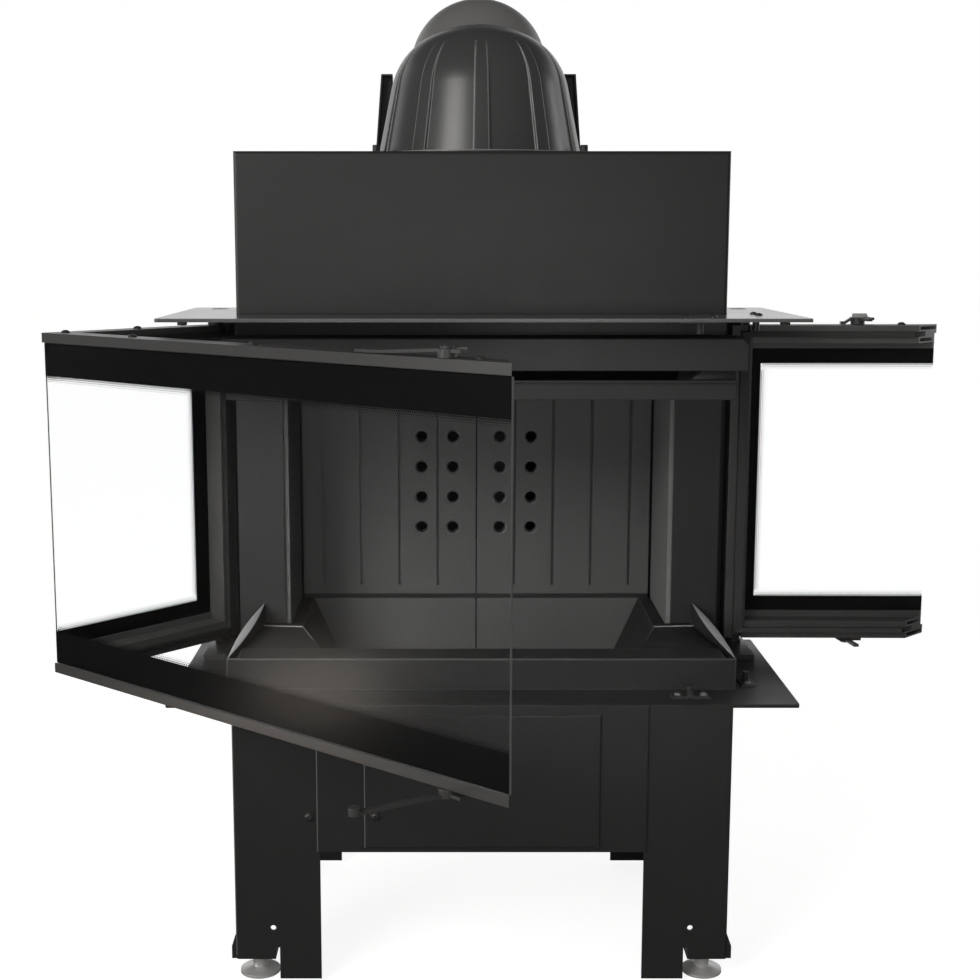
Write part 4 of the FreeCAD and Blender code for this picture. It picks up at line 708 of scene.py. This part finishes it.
# %% Bolts and screws in place
bell_bolt, deck_screw, catch_screw, base_bolt = (0.0065, 0.012), (0.0055, 0.0035), (0.0052, 0.0035), (0.0068, 0.0055)
deck_top, catch_top = 0.958, 0.418
flange_top, flange_ring, bell_back = 1.193, 0.170, 0.345
ring = [math.radians(turn) for turn in (22.5, 157.5, 202.5, 337.5)]
bolt_set("bell_bolts", "body",
         [upright_at(flange_ring * math.cos(a), bell_back + flange_ring * math.sin(a), flange_top) for a in ring],
         *bell_bolt)
catch_spots = [(0.281, 0.038), (0.319, 0.038), (0.393, 0.097), (0.393, 0.135)]
screw_set("deck_screws", "body", [upright_at(x, y, deck_top) for x, y in catch_spots], *deck_screw)
screw_set("catch_screws", "body", [upright_at(x, y, catch_top) for x, y in catch_spots], *catch_screw, "ground_edge")
face_front = Matrix.Rotation(math.pi / 2, 4, "X")
base_spots = [(-0.247, -0.003, 0.2505), (-0.152, -0.009, 0.2535)]
screw_set("base_bolts", "body", [upright_at(*spot) @ face_front for spot in base_spots], *base_bolt)

# %% [markdown]
# ## Bushes, nuts and the latch tab
# Each door stands on a bush round its hinge pin, above and below. A low nut holds every latch lever on its stud,
# and the right top lever carries a small bright tab for the finger. All of them are turned or bent from small stock:
# discs that are raised in steps, and a strip that is folded once.

# %% Bushes on the pins
bush_radius, bush_sides = 0.0125, 28
bush_spans = ((0.9333, 0.9447), (0.4233, 0.4327))
bush_shape = ((0.0, 0.35), (0.0018, 0.05), (0.0, 0.55), (0.0009, 0.05))
bm = bmesh.new()
for side in (-1, 1):
    for low, high in bush_spans:
        turned(bm, upright_at(side * hinge_x, hinge_y, low), bush_sides, bush_radius,
               [(draw_in, rise * (high - low)) for draw_in, rise in bush_shape])
new_piece("hinge_bushes", bm, "bare_steel", "body", smooth=True)
print("hinge_bushes: 4")

# %% Nuts on the levers
stud_top, stud_bottom = 0.9436, 0.4224
lever_nut = (0.0055, 0.0036)
studs = (("left", -0.0498, -0.3865), ("right", 0.5961, 0.3358))
for door, x, y in studs:
    for end, seat in (("top", upright_at(x, y, stud_top)), ("bottom", upright_at(x, y, stud_bottom) @ flip)):
        bolt_set(f"{door}_{end}_nut", f"{door}_{end}_lever", [seat], *lever_nut)


# %% Latch tab
def soften(bm, verts, offset, segments=2):
    """A small round on every edge at these corners."""
    edges = list(dict.fromkeys(e for v in verts for e in v.link_edges))
    bmesh.ops.bevel(bm, geom=edges, offset=offset, affect="EDGES", segments=segments, profile=0.5, material=-1)


def plate(bm, corners, lift, offset):
    """A flat sheet from its corners, raised to its thickness, with a small round on all edges."""
    face = bm.faces.new([bm.verts.new(p) for p in corners])
    grown = bmesh.ops.extrude_face_region(bm, geom=[face])["geom"]
    top = [g for g in grown if isinstance(g, bmesh.types.BMVert)]
    bmesh.ops.translate(bm, vec=lift, verts=top)
    soften(bm, top + list(face.verts), offset)


tab_thick, tab_round = 0.0012, 0.0003
tab_x, tab_y = 0.5975, 0.3315
bm = bmesh.new()
foot = [(-0.016, -0.004), (0.016, -0.004), (0.016, 0.0), (-0.016, 0.0)]
plate(bm, [(tab_x + x, tab_y + y, stud_top) for x, y in foot], (0, 0, tab_thick), tab_round)
grip = [(-0.013, 0.0008), (0.013, 0.0008), (0.010, 0.0068), (-0.012, 0.0068)]
plate(bm, [(tab_x + x, tab_y - 0.0042, stud_top + z) for x, z in grip], (0, tab_thick, 0), tab_round)
new_piece("right_latch_tab", bm, "pale_steel_and_highlight", "right_top_lever")
print("right_latch_tab: folded strip")

# %% [markdown]
# ## Small sheet work in the firebox
# The side retainers end in a lens-shaped pale lip, a painted highlight along the retainer's top edge. Between them
# and the sloping bricks lies a flat shelf with a slanted inner edge and a pale bead, a painted highlight along that
# edge. Two short plates close the ends of the air slot under the lintel, and a small lug hangs under the deck at both
# front corners. The lip starts as a flat grid that is laid along the retainer's edge and narrowed to nothing at both
# ends.

# %% Lips on the side retainers, painted highlights
lip_shift, lip_half, lip_crown, lip_thick = -0.0015, 0.0066, 0.0014, 0.0008
lip_ends = (0.371, 0.0765, 0.4622), (0.343, 0.3015, 0.4912)
bm = bmesh.new()
for side in (-1, 1):
    start, end = [Vector((side * x, y, z)) for x, y, z in lip_ends]
    made = bmesh.ops.create_grid(bm, x_segments=24, y_segments=4, size=0.5)
    for vert in made["verts"]:
        along, across = vert.co.x + 0.5, 2.0 * vert.co.y
        belly = math.sin(math.pi * along) ** 0.85
        vert.co = start.lerp(end, along)
        vert.co.x += side * (lip_shift + lip_half * across * belly)
        vert.co.z += lip_crown * belly * (1.0 - across * across)
bmesh.ops.remove_doubles(bm, verts=bm.verts, dist=0.00002)
bmesh.ops.recalc_face_normals(bm, faces=bm.faces)
bmesh.ops.solidify(bm, geom=bm.faces, thickness=lip_thick)
new_piece("retainer_lip_highlights", bm, "pale_steel_and_highlight", "body", smooth=True)
print("retainer_lip_highlights: 2")

# %% Shelves and their beads, the beads painted highlights
shelf_low, shelf_thick, shelf_round = 0.4553, 0.003, 0.0012
bead_low, bead_thick, bead_round = 0.4581, 0.0014, 0.0003
bead_across, bead_back = 0.0012, 0.0034
shelf_outline = [(0.235, 0.134), (0.282, 0.298), (0.288, 0.3015), (0.3385, 0.3015), (0.3585, 0.134)]
bend = [(0.256, 0.197), (0.278, 0.276), (0.341, 0.2825)]
shelves, beads = bmesh.new(), bmesh.new()
for side in (-1, 1):
    plate(shelves, [(side * x, y, shelf_low) for x, y in shelf_outline], (0, 0, shelf_thick), shelf_round)
    for (x0, y0), (x1, y1) in zip(bend, bend[1:]):
        line = [(x0, y0), (x1, y1), (x1 + bead_across, y1 + bead_back), (x0 + bead_across, y0 + bead_back)]
        plate(beads, [(side * x, y, bead_low) for x, y in line], (0, 0, bead_thick), bead_round)
new_piece("hearth_shelves", shelves, "hearth_iron", "body", smooth=True)
new_piece("shelf_bead_highlights", beads, "pale_steel_and_highlight", "body")
print("hearth_shelves: 2, shelf_bead_highlights: 4")


# %% Slot ends and lugs
def soft_block(bm, low, high, offset, segments=2):
    """A box with a small round on all its edges."""
    soften(bm, block(bm, low, high), offset, segments)


slot_front, slot_thick, slot_round = 0.1055, 0.003, 0.001
lug_x, lug_half, lug_round = 0.412, 0.006, 0.0012
slot_outline = [(0.300, 0.8652), (0.366, 0.8652), (0.366, 0.8755), (0.361, 0.8805), (0.318, 0.8805), (0.306, 0.872)]
ends, lugs = bmesh.new(), bmesh.new()
for side in (-1, 1):
    plate(ends, [(side * x, slot_front, z) for x, z in slot_outline], (0, slot_thick, 0), slot_round)
    soft_block(lugs, (side * lug_x - lug_half, 0.003, 0.9487), (side * lug_x + lug_half, 0.016, 0.953), lug_round)
new_piece("slot_ends", ends, "body_paint", "body", smooth=True)
new_piece("deck_lugs", lugs, "body_paint", "body", smooth=True)
print("slot_ends, deck_lugs: 2 each")

# %% [markdown]
# ## Ropes, rims, painted shade and painted highlights
# A rope strip lies along each door post, and a thin dark strip on the lintel in front of the neck is painted shade,
# the dark gap there.
# Every air hole in the rear plates gets a thin cone in its countersink, spun from a small section, so that its
# rim shows; the cone is a little paler than the plate, which is part painted highlight. On the folded sheets on the
# left of the base and the hood, a thin pale strip along one bend each is a painted highlight, the light line of that
# bend.
# The front pane shows its ground end, and a fine dark joint marks where the two left panes meet.

# %% Rope, and a strip of painted shade on the lintel
rope_x, rope_half, rope_round, shade_strip_round = 0.400, 0.010, 0.0018, 0.0006
bm = bmesh.new()
for side in (-1, 1):
    soft_block(bm, (side * rope_x - rope_half, 0.366, 0.4155), (side * rope_x + rope_half, 0.3705, 0.9525),
               rope_round, 3)
new_piece("post_ropes", bm, "rope", "body", smooth=True)
bm = bmesh.new()
# A thin dark strip on the lintel in front of the neck: painted shade for the dark gap there.
soft_block(bm, (-0.370, 0.0745, 0.9262), (0.370, 0.1325, 0.9278), shade_strip_round)
new_piece("lintel_shade_strip", bm, "rope", "body", smooth=True)
print("post_ropes: 2, lintel_shade_strip: 1")

# %% Rims of the air holes
plate_face, lowest_hole, hole_step = 0.4999, 0.578, 0.052
# The rims take a finish a little paler than the brick, a painted highlight that lets the lit side of each countersink
# show.
section = [(0.0126, 0.0), (0.0130, 0.0), (0.0097, 0.0033), (0.0093, 0.0033)]
bm = bmesh.new()
for x in (-0.093, -0.040, 0.040, 0.093):
    for k in range(4):
        centre = Vector((x, plate_face, lowest_hole + hole_step * k))
        ring_verts = [bm.verts.new(centre + Vector((reach, depth, 0.0))) for reach, depth in section]
        ring_edges = [bm.edges.new((ring_verts[i - 1], ring_verts[i])) for i in range(len(section))]
        bmesh.ops.spin(bm, geom=ring_verts + ring_edges, cent=centre, axis=(0, 1, 0), angle=2 * math.pi,
                       steps=24, use_merge=True)
new_piece("hole_rims", bm, "hole_rim", "body", smooth=True)
print("hole_rims: 16")

# %% Painted highlights on bends on the left of the base and the hood
bend_wide, bend_round = 0.0019, 0.0006
bend_highlights = [(-0.2362, -0.0063, 0.1985, 0.4095), (-0.1682, -0.0093, 0.2055, 0.4015),
         (-0.3552, -0.0033, 0.040, 0.4095), (-0.3528, 0.1347, 0.9585, 1.1865)]
bm = bmesh.new()
for x, y, low, high in bend_highlights:
    soft_block(bm, (x, y, low), (x + bend_wide, y + bend_wide, high), bend_round)
new_piece("left_bend_highlights", bm, "ground_edge", "body", smooth=True)
print("left_bend_highlights:", len(bend_highlights))

# %% Edges of the left panes
pane_low, pane_high = 0.448, 0.918
bm = bmesh.new()
block(bm, (0.8588, 0.0003, pane_low), (0.8591, 0.0037, pane_high), pane_frame["left_front"])
new_piece("front_pane_edge", bm, "ground_edge", "left_door")
bm = bmesh.new()
block(bm, (0.0008, 0.0041, pane_low), (0.0030, 0.0049, pane_high), pane_frame["left_front"])
new_piece("corner_joint", bm, "bare_steel", "left_door")
print("front_pane_edge: ground glass; corner_joint: where the two left panes meet")

# %% [markdown]
# ## Size
# The box of the dressed object, floor left out, is printed. The dressed object has to stay inside the box of the
# solids. It is measured on the finished pieces, because a sum done by hand could miss one.

# %% Finish
scene.view_settings.view_transform = "Standard"
low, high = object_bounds()
print("visual box:", [round(b - a, 3) for a, b in zip(low, high)], "m")
